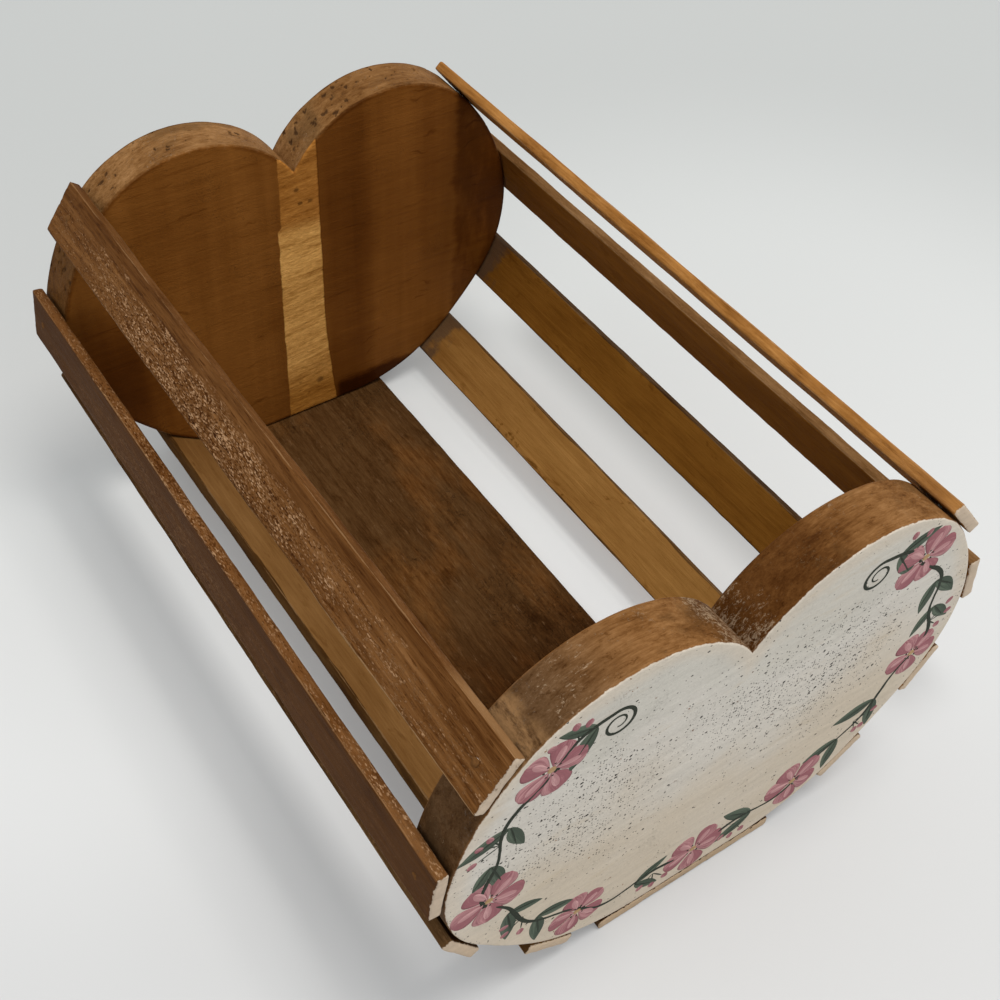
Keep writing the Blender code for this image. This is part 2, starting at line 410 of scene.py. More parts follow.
def cream_over(graph, wood, wood_roughness, finish, reach, flaking, tone):
    """Ragged cream paint over a piece's front end: gives colour, roughness and the paint's mask.

    It reaches at most this far back from the front, more of it is lost behind the face the higher the
    flaking, and its tone is the finish's cream times these factors.
    """
    place = object_place(graph)
    _, along, up = place.split()
    depth = along - FRONT
    ragged = place.stretched(1.0, 0.5, 1.0).noise(210.0, 6.0, 0.78)
    edge = (ragged ** 2.0).span(0.0003, reach)
    covered = (edge - depth).step(-0.00012, 0.00012)
    on_face = depth.step(0.00032, 0.0002)
    chips = place.noise(300.0, 5.0, 0.7)
    loose = on_face.between(flaking, 0.02)
    chipped = (chips + loose).step(0.93, 0.97)
    mask = covered * (1.0 - chipped)
    # The cream is cooler above and warmer below, a little darker at the top, and warm along the rim.
    clouds = place.noise(22.0, 3.0, 0.5)
    height = up + clouds.span(-0.03, 0.03)
    cool = tinted(finish.cream, tinted(tone, (0.985, 0.98, 1.01)))
    warm = tinted(finish.cream, tinted(tone, (0.920, 0.840, 0.757)))
    cream = graph.mix(height.step(0.115, 0.035), cool, warm)
    cream = graph.mix(height.step(0.112, 0.138), cream, tinted(cool, (0.93, 0.94, 0.93)))
    rim = (graph.attribute("inset", "Fac") + clouds.span(0.003, -0.003)).step(0.0085, 0.001)
    cream = cream.blotted(rim, 0.65, tinted(finish.cream, tinted(tone, (0.99, 0.9, 0.82))))
    streaks = place.stretched(0.1, 1.0, 1.0).noise(330.0, 6.0, 0.68)
    grit = place.noise(800.0, 4.0, 0.75)
    cream = graph.shade(cream, graph.swung((streaks, 0.16), (grit, 0.14)))
    tan = place.stretched(0.25, 1.0, 1.0).noise(120.0, 5.0, 0.7)
    cream = cream.blotted(tan.step(0.66, 0.95), 0.3, tinted(finish.cream, (0.82, 0.7, 0.54)))
    thin = depth.step(0.0002, 0.0012)
    cream = cream.blotted(thin, 0.35, tinted(finish.cream, (0.8, 0.66, 0.55)))
    base = graph.mix(mask, wood, cream)
    return base, mask.between(wood_roughness, 0.6), mask


def specks(graph, base, place):
    """Dark spatter on the front face, thickest in drifts across its middle."""
    across, along, up = place.split()
    flat = graph.joined(across * 0.75, up, 0.0)
    drift = flat.noise(40.0, 3.0, 0.6)
    height = up + drift.span(-0.025, 0.025) - 0.093
    band = abs(height).step(0.055, 0.008)
    crowd = drift.step(0.1, 0.95) * 0.36
    for x, z, reach in ((0.038, 0.095, 0.046), (0.010, 0.108, 0.036), (-0.057, 0.096, 0.044)):
        crowd = crowd.most(graph.near(across, x, up, z, reach) * 0.8)
    crowd = band * crowd
    facing = along.step(FRONT + 0.0005, FRONT + 0.0003)
    fine = flat.marks(1200.0, crowd.span(0.02, 0.5), (0.09, 0.34), soft=0.04, dimensions="2D")
    coarse = flat.marks(620.0, crowd.span(0.004, 0.13), (0.14, 0.32), soft=0.03, dimensions="2D")
    dark = fine.most(coarse) * facing
    return base.blotted(dark, 1.0, (0.018, 0.017, 0.014))


def slat_material(name, finish):
    """Stained lath: grain along its length, worn edges, dusty weathered faces and a painted front end."""
    material, graph = new_material(name)
    grain = graph.attribute("grain")
    stain = graph.attribute("stain", "Color")
    weather, furred, rubbing = graph.attribute("weather").split()
    blotches, glue, waver = graph.attribute("flaws").split()
    out, _, across = graph.attribute("spot").split()
    y = object_place(graph).split()[1]
    streaks = grain.stretched(1.0, 0.05, 1.0).noise(620.0, 6.0, 0.66, 0.4)
    bands = grain.stretched(1.0, 0.1, 1.0).noise(95.0, 3.0)
    fibres = grain.stretched(1.0, 0.08, 1.0).noise(1500.0, 4.0, 0.75)
    mottle = grain.stretched(1.0, 0.4, 1.0).noise(110.0, 4.0, 0.6)
    coarse = grain.stretched(1.0, 0.07, 1.0).noise(350.0, 4.0, 0.6, 0.3)
    worked = ((streaks, weather.span(0.26, 1.0)), (coarse, weather.span(0.12, 0.42)))
    wood = graph.varied(stain, *worked, (bands, 0.22), (mottle, 0.20))
    wood = wood.dimmed(fibres.step(0.62, 0.85), weather.span(0.12, 0.5))
    wood = wood.dimmed(mottle.step(0.8, 0.95), 0.2)
    blots = grain.stretched(1.0, 0.55, 1.0).noise(70.0, 4.0, 0.7, 0.6)
    rimward = abs(across).span(-0.16, 0.1)
    blots = (blots + rimward).step(0.7, 0.92)
    wood = wood.dimmed(blots * blotches, 0.46)
    # The narrow cut edges take the stain in their own way, and some of it has run onto the face.
    ran = grain.stretched(1.0, 0.25, 1.0).noise(75.0, 4.0, 0.6)
    run = ran.step(0.35, 1.0) * waver * 0.15
    cut = (abs(across) + run).step(0.955, 0.985)
    edge_stain = graph.attribute("edge_stain", "Color")
    edge_tone = graph.varied(edge_stain, (streaks, 0.60), (mottle, 0.70), (fibres, 0.35))
    bared = y.step(-0.108, -0.124) * weather
    edge_tone = edge_tone.blotted(bared, 0.5, (0.36, 0.2, 0.088))
    wood = graph.mix(cut, wood, edge_tone)
    # Dust and lifted fibres lie on weathered outer faces, most near the middle, and along furred edges.
    middle = abs(y - 0.026)
    thick = middle.step(0.15, 0.01) * 0.21
    tufts = grain.stretched(1.0, 0.45, 1.0).noise(1900.0, 5.0, 0.85)
    crumbs = grain.stretched(1.0, 0.34, 1.0).cells(2700.0)
    tufts = tufts * 0.4 + crumbs * 0.6
    drifts = grain.stretched(1.0, 0.2, 1.0).noise(300.0, 5.0, 0.75)
    outward = out.step(0.6, 0.9)
    thin = y.step(-0.06, -0.11) * 0.04
    laid = tufts + outward.between(0.1, thick) + thin + drifts.span(-0.34, 0.06)
    low = (across + drifts.span(-0.3, 0.3)).step(-0.5, -0.1)
    faces = (outward * weather * low).most(cut * furred)
    dust = laid.step(0.57, 0.79) * faces
    sparks = laid.step(0.73, 0.9) * faces
    hollow = (tufts - thick).step(0.28, 0.02) * faces
    wood = wood.dimmed(hollow, 0.66)
    wood = wood.dimmed(across.step(-0.15, -0.55) * outward * weather, 0.22)
    wood = wood.blotted(dust, 0.76, (0.32, 0.165, 0.073))
    wood = wood.blotted(sparks, 0.58, (0.52, 0.33, 0.19))
    # The corners are rubbed down to pale wood here and there.
    from_face = (1.0 - abs(out)) * 0.00225
    from_edge = (1.0 - abs(across)) * 0.01065
    rub = grain.stretched(1.0, 0.12, 1.0).noise(210.0, 5.0, 0.75)
    lower_corner = across.step(0.88, 0.94) * out.step(0.5, 0.8) * y.step(-0.03, -0.06) * weather
    corner = from_face + from_edge + rub.span(0.0009, -0.0006) + lower_corner * -0.0005
    rubbed = corner.step(0.0004, 0.00015)
    rubbing = rubbing.most(lower_corner)
    wood = wood.blotted(rubbed * rubbing, 0.7, finish.worn_edge)
    wood = wood.dimmed(y.step(0.085, 0.125), 0.14)
    # Old glue shows on the inner faces where they meet the back heart.
    smear = grain.noise(160.0, 3.0, 0.6)
    end = (y + smear.span(-0.005, 0.005) + across.span(-0.002, 0.002)).step(0.115, 0.122)
    wood = wood.blotted(end * out.step(-0.6, -0.9) * glue, 0.72, (0.095, 0.062, 0.042))
    sheen = streaks.span(0.45, 0.66)
    base, roughness, mask = cream_over(
        graph, wood, sheen, finish, reach=0.0017, flaking=0.10, tone=(0.90, 0.81, 0.73)
    )
    relief = streaks * 0.6 + fibres * 0.4 + dust * 0.7 + mask
    close_material(graph, base, roughness, relief, 0.00022)
    return material


def board_material(name, finish):
    """Dark stained board: fine streaks along its length, reddish patches, short cracks and pale dots."""
    material, graph = new_material(name)
    grain = graph.attribute("grain")
    across = graph.attribute("spot").split()[2]
    streaks = grain.stretched(1.0, 0.07, 1.0).noise(480.0, 6.0, 0.7, 0.3)
    fibres = grain.stretched(1.0, 0.15, 1.0).noise(1400.0, 4.0, 0.75)
    patches = grain.stretched(1.0, 0.45, 1.0).noise(38.0, 5.0, 0.65)
    warm = tinted(finish.board_stain, (1.52, 1.36, 1.12))
    along = object_place(graph).split()[1]
    central = abs(along - 0.01).step(0.085, 0.01).span(-0.18, 0.16)
    wood = graph.mix((patches + central).step(0.35, 0.85), finish.board_stain, warm)
    wood = wood.tinged(along.step(0.005, -0.065), (0.50, 0.39, 0.26))
    wood = graph.varied(wood, (streaks, 0.80), (fibres, 0.55))
    pale = grain.stretched(1.0, 0.22, 1.0).noise(420.0, 5.0, 0.8)
    wood = wood.blotted(pale.step(0.66, 0.95), 0.38, (0.22, 0.125, 0.062))
    dark = grain.stretched(1.0, 0.5, 1.0).noise(85.0, 5.0, 0.7)
    wood = wood.dimmed(dark.step(0.6, 0.95), 0.42)
    dots = grain.marks(75.0, 0.13, (0.028, 0.055), soft=0.02)
    wood = wood.blotted(dots, 0.75, (0.36, 0.25, 0.15))
    ridge = grain.stretched(0.5, 0.8, 1.0).noise(150.0, 4.0, 0.8, 1.0)
    crack = abs(ridge - 0.5).step(0.016, 0.0)
    crack = crack * grain.noise(36.0, 2.0).step(0.6, 0.72)
    wood = wood.dimmed(crack, 0.7)
    cut = abs(across).step(0.985, 0.995)
    wood = wood.blotted(cut, 0.4, (0.13, 0.07, 0.034))
    sheen = streaks.span(0.5, 0.72)
    base, roughness, _ = cream_over(
        graph, wood, sheen, finish, reach=0.0012, flaking=0.26, tone=(0.80, 0.68, 0.56)
    )
    relief = streaks * 0.6 + fibres * 0.4 + crack * -0.8
    close_material(graph, base, roughness, relief, 0.00022)
    return material


def heart_wood(graph, face_stain, edge_stain, finish):
    """Stained board with its grain across the heart: gives colour, roughness, relief and place."""
    place = object_place(graph)
    across, _, up = place.split()
    side = graph.attribute("side", "Fac")
    inset = graph.attribute("inset", "Fac")
    streaks = place.stretched(0.06, 1.0, 1.0).noise(420.0, 6.0, 0.62, 0.5)
    fibres = place.stretched(0.1, 1.0, 1.0).noise(1500.0, 4.0, 0.75)
    uprights = place.stretched(1.0, 1.0, 0.05).noise(62.0, 4.0, 0.6)
    clouds = place.noise(30.0, 3.0)
    face = graph.varied(face_stain, (uprights, 0.42), (clouds, 0.25), (streaks, 0.18), (fibres, 0.12))
    flat = graph.joined(across * 0.16, up, 0.0)
    bent = place.noise(55.0, 3.0)
    flat = graph.vector("ADD", flat, graph.joined(0.0, bent.span(-0.004, 0.004), 0.0))
    dashes = flat.marks(230.0, 0.3, (0.02, 0.22), soft=0.2, dimensions="2D", ragged=0.25)
    face = face.dimmed(dashes, 0.34)
    lines = place.stretched(0.1, 1.0, 1.4).noise(260.0, 5.0, 0.75, 0.8)
    face = face.dimmed(lines.step(0.66, 0.98), 0.32)
    mottle = place.stretched(0.6, 1.0, 1.0).noise(95.0, 6.0, 0.72)
    edge = graph.varied(edge_stain, (streaks, 0.55), (mottle, 0.80), (fibres, 0.60))
    patches = place.noise(48.0, 4.0, 0.6)
    edge = edge.blotted(patches.step(0.5, 0.85), 0.55, tinted(edge_stain, (0.5, 0.55, 0.6)))
    flecks = place.noise(1000.0, 4.0, 0.8)
    strewn = place.noise(75.0, 3.0, 0.6)
    flecks = (flecks + strewn.span(-0.3, 0.22)).step(0.74, 0.96)
    edge = edge.blotted(flecks, 0.55, (0.38, 0.25, 0.15))
    grime = place.stretched(0.5, 1.0, 1.0).noise(420.0, 5.0, 0.8)
    edge = edge.dimmed(grime.step(0.64, 0.92), 0.42)
    wood = graph.mix(side, face, edge)
    rub = place.noise(420.0, 5.0, 0.75)
    worn = side.step(0.0, 0.5) * side.step(1.0, 0.6) * rub.step(0.35, 0.85)
    near = inset.step(0.0019, 0.001) * side.step(0.3, 0.0) * rub.step(0.55, 0.85)
    wood = wood.blotted(worn.most(near * 0.6), 0.3, finish.worn_edge)
    relief = streaks * 0.5 + fibres * 0.4 + flecks * 0.5
    return wood, streaks.span(0.45, 0.62), relief, place


def back_heart_material(name, finish):
    """The back heart: stained, with a bare upright stripe on its inner face and pits in its top edge."""
    material, graph = new_material(name)
    wood, roughness, relief, place = heart_wood(graph, finish.heart_stain, finish.heart_edge, finish)
    across, along, up = place.split()
    side = graph.attribute("side", "Fac")
    inner = along.step(BACK - 0.018, BACK - 0.0186)
    # The inner face is darker right of the stripe, beside it, down both rims and along the foot.
    waver = place.stretched(0.3, 1.0, 1.0).noise(70.0, 6.0, 0.72)
    shifted = across + waver.span(-0.0028, 0.0028)
    wood = wood.dimmed(across.step(0.004, 0.02) * up.step(0.045, 0.085) * inner, 0.19)
    beside = shifted.step(0.038, 0.028) * across.step(0.004, 0.008) * inner
    wood = wood.dimmed(beside, 0.2)
    wood = wood.dimmed(across.step(0.01, 0.03) * side, 0.2)
    cloudy = place.stretched(1.0, 1.0, 0.35).noise(75.0, 4.0, 0.6)
    # Partly stain, partly painted shadow of the upper right slats: a darker band down the right rim.
    rim_band_stain_and_shadow = shifted.step(0.0735, 0.0775) * inner * cloudy.step(0.3, 0.75).span(0.55, 1.15)
    wood = wood.dimmed(rim_band_stain_and_shadow, 0.42)
    # Painted shade: the lower left of the inner face is darkened as the shade under the top left slat.
    wood = wood.dimmed(shifted.step(-0.055, -0.08) * up.step(0.115, 0.07) * inner, 0.62)
    line = graph.attribute("inset", "Fac").step(0.0024, 0.0008) * inner * waver.step(0.25, 0.6)
    wood = wood.dimmed(line, 0.42)
    wood = wood.dimmed(across.step(-0.078, -0.09) * side, 0.42)
    # Painted shade with some dirt: the wood is darkened along the foot, where the heart meets the board.
    foot_shade_and_dirt = (up + waver.span(-0.004, 0.004)).step(0.0185, 0.012)
    wood = wood.dimmed(foot_shade_and_dirt * inner * across.step(0.012, 0.016), 0.75)
    # The stripe was masked off, and shows the marks of the saw and a few small knots.
    jog = up.step(0.1065, 0.1085) * 0.0016
    left_edge = -0.0098 + (up - 0.06) * 0.012 + jog + waver.span(-0.0005, 0.0005)
    widening = (0.05 - up).most(0.0) * 0.075
    right_edge = 0.01 + widening + waver.span(0.0004, -0.0004)
    inside = (across - left_edge).step(-0.0002, 0.0004)
    inside = inside * (right_edge - across).step(-0.0002, 0.0003) * inner
    slant = up - across * 0.1
    cuts = graph.joined(across * 0.1, 0.0, slant)
    saw = cuts.noise(460.0, 5.0, 0.7, 0.5)
    bands = cuts.noise(95.0, 3.0, 0.6)
    grit = place.stretched(0.3, 1.0, 1.0).noise(1000.0, 4.0, 0.75)
    bare = graph.varied(finish.bare_wood, (saw, 0.70), (bands, 0.55), (grit, 0.55))
    bare = bare.dimmed(saw.step(0.7, 0.92), 0.4)
    flat = graph.joined(across * 0.5, up, 0.0)
    specked = flat.marks(420.0, 0.1, (0.04, 0.22), soft=0.12, dimensions="2D", ragged=0.9)
    bare = bare.blotted(specked, 0.65, (0.12, 0.05, 0.014))
    frayed = place.noise(700.0, 3.0, 0.7)
    frayed = graph.joined(frayed.span(-0.0007, 0.0007), 0.0, waver.span(-0.0009, 0.0009))
    spot_x, _, spot_z = graph.vector("ADD", place, frayed).stretched(0.7, 1.0, 1.0).split()
    knots = (
        (0.0041, 0.1170, 0.0012), (0.0010, 0.1172, 0.0010),
        (0.0001, 0.1238, 0.0013), (0.0038, 0.0209, 0.0019),
    )
    for x, z, reach in knots:
        bare = bare.blotted(graph.near(spot_x, x, spot_z, z, reach), 0.65, (0.085, 0.034, 0.01))
    top = (up + bands.span(-0.004, 0.004)).step(0.102, 0.11)
    bare = bare.tinged(top, (0.60, 0.47, 0.33))
    bare = bare.tinged(up.step(0.042, 0.012), (0.7, 0.58, 0.38))
    wood = graph.mix(inside, wood, bare)
    gutter = abs(across - right_edge).step(0.0006, 0.0001)
    wood = wood.dimmed(gutter * inner, 0.3)
    # Torn pits crowd by the notch and on the left shoulder of the cut edge.
    pit = graph.attribute("pit", "Fac")
    chance = graph.attribute("crowd", "Fac").span(0.03, 0.34)
    nicks = place.marks(620.0, chance, (0.05, 0.3), soft=0.14, ragged=0.9)
    pit = pit.step(0.1, 0.7).most(nicks * side)
    wood = wood.blotted(pit, 0.8, (0.045, 0.02, 0.008))
    rim = side * along.step(BACK - 0.0016, BACK - 0.0006) * waver.step(0.2, 0.6)
    wood = wood.dimmed(rim, 0.55)
    relief = relief + inside * saw * 0.5
    close_material(graph, wood, roughness, relief, 0.00022)
    return material


def front_heart_material(name, finish):
    """The front heart: rich brown wood, cream paint and fine specks on its outer face."""
    material, graph = new_material(name)
    wood, roughness, relief, place = heart_wood(graph, finish.heart_stain, finish.front_edge, finish)
    across, _, up = place.split()
    side = graph.attribute("side", "Fac")
    # Painted shade: the wood is darker in a band on each side of the notch, the crease between the lobes.
    soft = place.noise(60.0, 4.0, 0.6)
    swayed = across + soft.span(-0.006, 0.006)
    wood = wood.dimmed(swayed.step(0.04, 0.026) * swayed.step(-0.001, 0.001), 0.56)
    wood = wood.dimmed(swayed.step(-0.026, -0.006) * swayed.step(0.001, -0.001), 0.5)
    left = across.step(-0.035, -0.07) * side
    wood = wood.tinged(left, (0.49, 0.54, 0.69))
    torn = place.stretched(1.0, 0.3, 1.0).noise(260.0, 5.0, 0.75)
    rubbed = graph.near(swayed, -0.079, up, 0.14, 0.011) * side * torn.step(0.12, 0.7)
    wood = wood.blotted(rubbed, 0.7, (0.36, 0.2, 0.088))
    # Fine pale scratches cross the notch, and whitish scuffs lie on the lobes beside it.
    lines = place.stretched(0.5, 1.0, 0.5).noise(800.0, 6.0, 0.85, 0.9)
    crumbs = place.stretched(0.5, 1.0, 0.5).cells(2400.0)
    patch = place.noise(85.0, 5.0, 0.7)
    by_notch = abs(across + 0.004).step(0.02, 0.003)
    right_patch = graph.near(across, 0.03, up, 0.152, 0.012)
    left_patch = graph.near(across, -0.06, up, 0.153, 0.014)
    sown = right_patch.most(left_patch)
    amount = by_notch.span(-0.25, 0.19) + sown * 0.18 + patch.span(-0.26, 0.2)
    mixed = lines * 0.86 + crumbs * 0.14 + across.step(0.0, 0.004) * -0.05
    scuffed = (mixed + amount).step(0.56, 0.8) * side
    wood = wood.blotted(scuffed, 0.67, (0.4, 0.29, 0.19))
    base, roughness, _ = cream_over(
        graph, wood, roughness, finish, reach=0.0008, flaking=0.06, tone=(1.0, 1.0, 1.0)
    )
    base = specks(graph, base, place)
    close_material(graph, base, roughness, relief, 0.00018)
    return material


def plain_material(name, base, roughness, metallic, scale):
    """A small part's finish: a slightly uneven colour."""
    material, graph = new_material(name)
    place = object_place(graph)
    grit = place.noise(scale, 4.0, 0.6)
    shown = graph.shade(base, graph.swung((grit, 0.35)))
    roughness = grit.span(roughness - 0.1, roughness + 0.1)
    close_material(graph, shown, roughness, grit, 0.0001, Metallic=metallic)
    return material


def stroke_material(name):
    """Thick brush paint: each stroke goes from its body colour to its light colour, with streaks."""
    material, graph = new_material(name)
    tone = graph.attribute("tone", "Color")
    tint = graph.attribute("tint", "Color")
    u, v, number = graph.attribute("stroke").split()
    lane = graph.joined(u * 3.2, v * 0.7, number)
    bristles = lane.noise(2.2, 4.0, 0.7)
    sideways = u * 0.45 + bristles
    light = sideways.step(0.35, 1.05)
    base = graph.shade(graph.mix(light, tone, tint), graph.swung((bristles, 0.25)))
    close_material(graph, base, bristles.span(0.45, 0.65), bristles, 8e-05)
    return material


# Geometry trees

def new_tree(name, inputs):
    """An empty geometry tree with named inputs: gives its graph, the inputs and their identifiers."""
    tree = bpy.data.node_groups.new(name, "GeometryNodeTree")
    identifiers = {}
    for label, kind in inputs.items():
        socket = tree.interface.new_socket(label, in_out="INPUT", socket_type="NodeSocket" + kind)
        identifiers[label] = socket.identifier
    tree.interface.new_socket("Geometry", in_out="OUTPUT", socket_type="NodeSocketGeometry")
    graph = Graph(tree)
    source = graph.add("NodeGroupInput", output=None)
    sockets = {label: Value(graph, source.outputs[label]) for label in inputs}
    return graph, sockets, identifiers


def close_tree(graph, geometry, finish):
    """Ends a tree with real geometry of one finish."""
    smooth = graph.add("GeometryNodeSetShadeSmooth", {"Geometry": geometry, "Shade Smooth": True})
    real = graph.add("GeometryNodeRealizeInstances", {"Geometry": smooth})
    painted = graph.add("GeometryNodeSetMaterial", {"Geometry": real, "Material": finish})
    graph.add("NodeGroupOutput", {"Geometry": painted}, output=None)


def stored(graph, geometry, name, kind, value):
    """Keeps a value on the points under this name."""
    values = {"Geometry": geometry, "Name": name, "Value": value}
    return graph.add("GeometryNodeStoreNamedAttribute", values, data_type=kind, domain="POINT")


def on_points(graph, points, instance, **values):
    """The instance at each point, turned to the way that the point faces."""
    aligned = {"Vector": graph.carried("facing", "FLOAT_VECTOR")}
    aligned = graph.add("FunctionNodeAlignRotationToVector", aligned, axis="Z")
    values = {"Points": points, "Instance": instance, "Rotation": aligned, **values}
    return graph.add("GeometryNodeInstanceOnPoints", values)


def board_tree():
    """A worn board along Y, whose outer face looks along X until it is turned and put in place."""
    inputs = {
        "Width": "Float", "Thickness": "Float", "Length": "Float", "Spacing": "Float", "Edge": "Float",
        "Wear": "Float", "Bow": "Float", "Seed": "Float", "Turn": "Float", "Place": "Vector",
        "Stain": "Color", "Edge stain": "Color", "Weather": "Vector", "Flaws": "Vector",
        "Finish": "Material",
    }
    graph, given, identifiers = new_tree("worn_board", inputs)
    size = graph.joined(given["Thickness"], given["Length"], given["Width"])
    half = size.scaled(0.5)
    counts = graph.vector("DIVIDE", size, graph.joined(*[given["Spacing"]] * 3)).split()
    steps = [count.math("ROUND") + 2.0 for count in counts]
    values = {"Size": size, "Vertices X": steps[0], "Vertices Y": steps[1], "Vertices Z": steps[2]}
    block = graph.add("GeometryNodeMeshCube", values)
    position = graph.add("GeometryNodeInputPosition")
    shift = graph.vector("MULTIPLY", graph.joined(*[given["Seed"]] * 3), (0.137, 0.731, 0.353))
    block = stored(graph, block, "spot", "FLOAT_VECTOR", graph.vector("DIVIDE", position, half))
    block = stored(graph, block, "grain", "FLOAT_VECTOR", graph.vector("ADD", position, shift))
    block = stored(graph, block, "stain", "FLOAT_COLOR", given["Stain"])
    block = stored(graph, block, "edge_stain", "FLOAT_COLOR", given["Edge stain"])
    block = stored(graph, block, "weather", "FLOAT_VECTOR", given["Weather"])
    block = stored(graph, block, "flaws", "FLOAT_VECTOR", given["Flaws"])
    seeded = graph.vector("ADD", position, shift)
    chew = seeded.stretched(1.0, 0.3, 1.0).noise(210.0, 4.0, 0.6)
    radius = given["Edge"] * chew.span(0.55, 1.5)
    reach = graph.vector("SUBTRACT", half, graph.joined(radius, radius, radius))
    core = graph.vector("MINIMUM", position, reach)
    core = graph.vector("MAXIMUM", core, reach.scaled(-1.0))
    outward = graph.vector("NORMALIZE", graph.vector("SUBTRACT", position, core))
    rounded = graph.vector("ADD", core, outward.scaled(radius))
    ridges = seeded.stretched(1.0, 0.06, 1.0).noise(380.0, 4.0, 0.6)
    waves = seeded.stretched(1.0, 0.5, 1.0).noise(45.0, 2.0)
    lift = ridges.span(-0.6, 0.3) + waves.span(-1.3, 0.2)
    rounded = graph.vector("ADD", rounded, outward.scaled(lift * given["Wear"]))
    along = graph.vector("DIVIDE", position, half).split()[1]
    sag = (1.0 - along * along) * given["Bow"]
    shaped = graph.vector("ADD", rounded, graph.joined(sag, 0.0, 0.0))
    block = graph.add("GeometryNodeSetPosition", {"Geometry": block, "Position": shaped})
    turned = graph.joined(0.0, given["Turn"], 0.0)
    rotation = graph.add("FunctionNodeEulerToRotation", {"Euler": turned})
    values = {"Geometry": block, "Translation": given["Place"], "Rotation": rotation}
    block = graph.add("GeometryNodeTransform", values)
    close_tree(graph, block, given["Finish"])
    return graph.tree, identifiers


def nail_tree():
    """Turned nails: one at each point of the mesh it is put on, driven against the point's facing."""
    inputs = {
        "Geometry": "Geometry", "Head": "Float", "Shank": "Float", "Length": "Float", "Depth": "Float",
        "Sides": "Int", "Finish": "Material",
    }
    graph, given, identifiers = new_tree("turned_nails", inputs)
    half_head = given["Head"] * 0.5
    half_shank = given["Shank"] * 0.5

    crown_height = 0.00022
    head_height = 0.0008
    point_length = 0.0018

    def turned(radius_top, radius_bottom, top, bottom):
        values = {
            "Vertices": given["Sides"], "Side Segments": 1, "Radius Top": radius_top,
            "Radius Bottom": radius_bottom, "Depth": top - bottom,
        }
        cone = graph.add("GeometryNodeMeshCone", values)
        spot = graph.joined(0.0, 0.0, bottom)
        return graph.add("GeometryNodeTransform", {"Geometry": cone, "Translation": spot})

    top = given["Depth"] * -1.0
    crown = top - crown_height
    under = top - head_height
    point = top - (given["Length"] - point_length)
    tip = top - given["Length"]
    pieces = [
        turned(half_head * 0.82, half_head, top, crown),
        turned(half_head, half_shank, crown, under),
        turned(half_shank, half_shank, under, point),
        turned(half_shank, 0.0, point, tip),
    ]
    values = {"Geometry": graph.gathered(pieces), "Distance": 1e-6}
    merged = graph.add("GeometryNodeMergeByDistance", values)
    close_tree(graph, on_points(graph, given["Geometry"], merged), given["Finish"])
    return graph.tree, identifiers


def filling_tree():
    """Dabs of filler: a flat uneven pat at each point of the mesh it is put on."""
    inputs = {"Geometry": "Geometry", "Diameter": "Float", "Height": "Float", "Finish": "Material"}
    graph, given, identifiers = new_tree("filler_dabs", inputs)
    ball = graph.add("GeometryNodeMeshUVSphere", {"Segments": 20, "Rings": 10, "Radius": 1.0})
    wide = given["Diameter"] * 0.5
    size = graph.joined(wide, wide, given["Height"])
    dabs = on_points(graph, given["Geometry"], ball, Scale=size)
    real = graph.add("GeometryNodeRealizeInstances", {"Geometry": dabs})
    values = {"Vector": graph.add("GeometryNodeInputPosition"), "Scale": 700.0, "Detail": 2.0}
    wobble = graph.add("ShaderNodeTexNoise", values, output=1)
    jitter = graph.vector("SUBTRACT", wobble, (0.5, 0.5, 0.5)).scaled(0.0008)
    real = graph.add("GeometryNodeSetPosition", {"Geometry": real, "Offset": jitter})
    close_tree(graph, real, given["Finish"])
    return graph.tree, identifiers


def stroke_tree():
    """Brush strokes: each point carries its stroke's root, turn, reach, breadth, bend, form and lift."""
    inputs = {"Geometry": "Geometry", "Height": "Float", "Finish": "Material"}
    graph, given, identifiers = new_tree("brush_strokes", inputs)
    values = {"Size X": 1.0, "Size Y": 1.0, "Vertices X": 9, "Vertices Y": 15}
    grid = graph.add("GeometryNodeMeshGrid", values)
    position = graph.add("GeometryNodeInputPosition")
    x, y, _ = position.split()
    u = x * 2.0
    v = y + 0.5
    top = stored(graph, grid, "flat", "FLOAT_VECTOR", graph.joined(u, v, 1.0))
    under = stored(graph, grid, "flat", "FLOAT_VECTOR", graph.joined(u, v, 0.0))
    under = graph.add("GeometryNodeFlipFaces", {"Mesh": under})
    values = {"Points": given["Geometry"], "Instance": graph.gathered([top, under])}
    placed = graph.add("GeometryNodeInstanceOnPoints", values)
    real = graph.add("GeometryNodeRealizeInstances", {"Geometry": placed})
    u, v, upper = graph.carried("flat", "FLOAT_VECTOR").split()
    root = graph.carried("root", "FLOAT_VECTOR")
    turn = graph.carried("turn")
    reach = graph.carried("reach")
    swell = (v ** graph.carried("belly") * math.pi).math("SINE")
    swell = swell.most(0.0) ** graph.carried("bluntness")
    sideways = u * swell * (graph.carried("breadth") * 0.5)
    curl = v * v * graph.carried("bend") * reach
    sideways = sideways + curl
    forward = v * reach
    cosine = turn.math("COSINE")
    sine = turn.math("SINE")
    across = forward * cosine + sideways * sine
    up = forward * sine - sideways * cosine
    crown = 1.0 - u * u * (u * u)
    crown = crown * (swell * 2.5).least(1.0)
    thickness = given["Height"] * (0.5 + graph.carried("lift"))
    out = crown * upper * thickness
    moved = graph.vector("ADD", root, graph.joined(across, out * -1.0, up))
    shaped = graph.add("GeometryNodeSetPosition", {"Geometry": real, "Position": moved})
    shaped = stored(graph, shaped, "stroke", "FLOAT_VECTOR", graph.joined(u, v, graph.carried("number")))
    welded = graph.add("GeometryNodeMergeByDistance", {"Geometry": shaped, "Distance": 1e-7})
    close_tree(graph, welded, given["Finish"])
    return graph.tree, identifiers


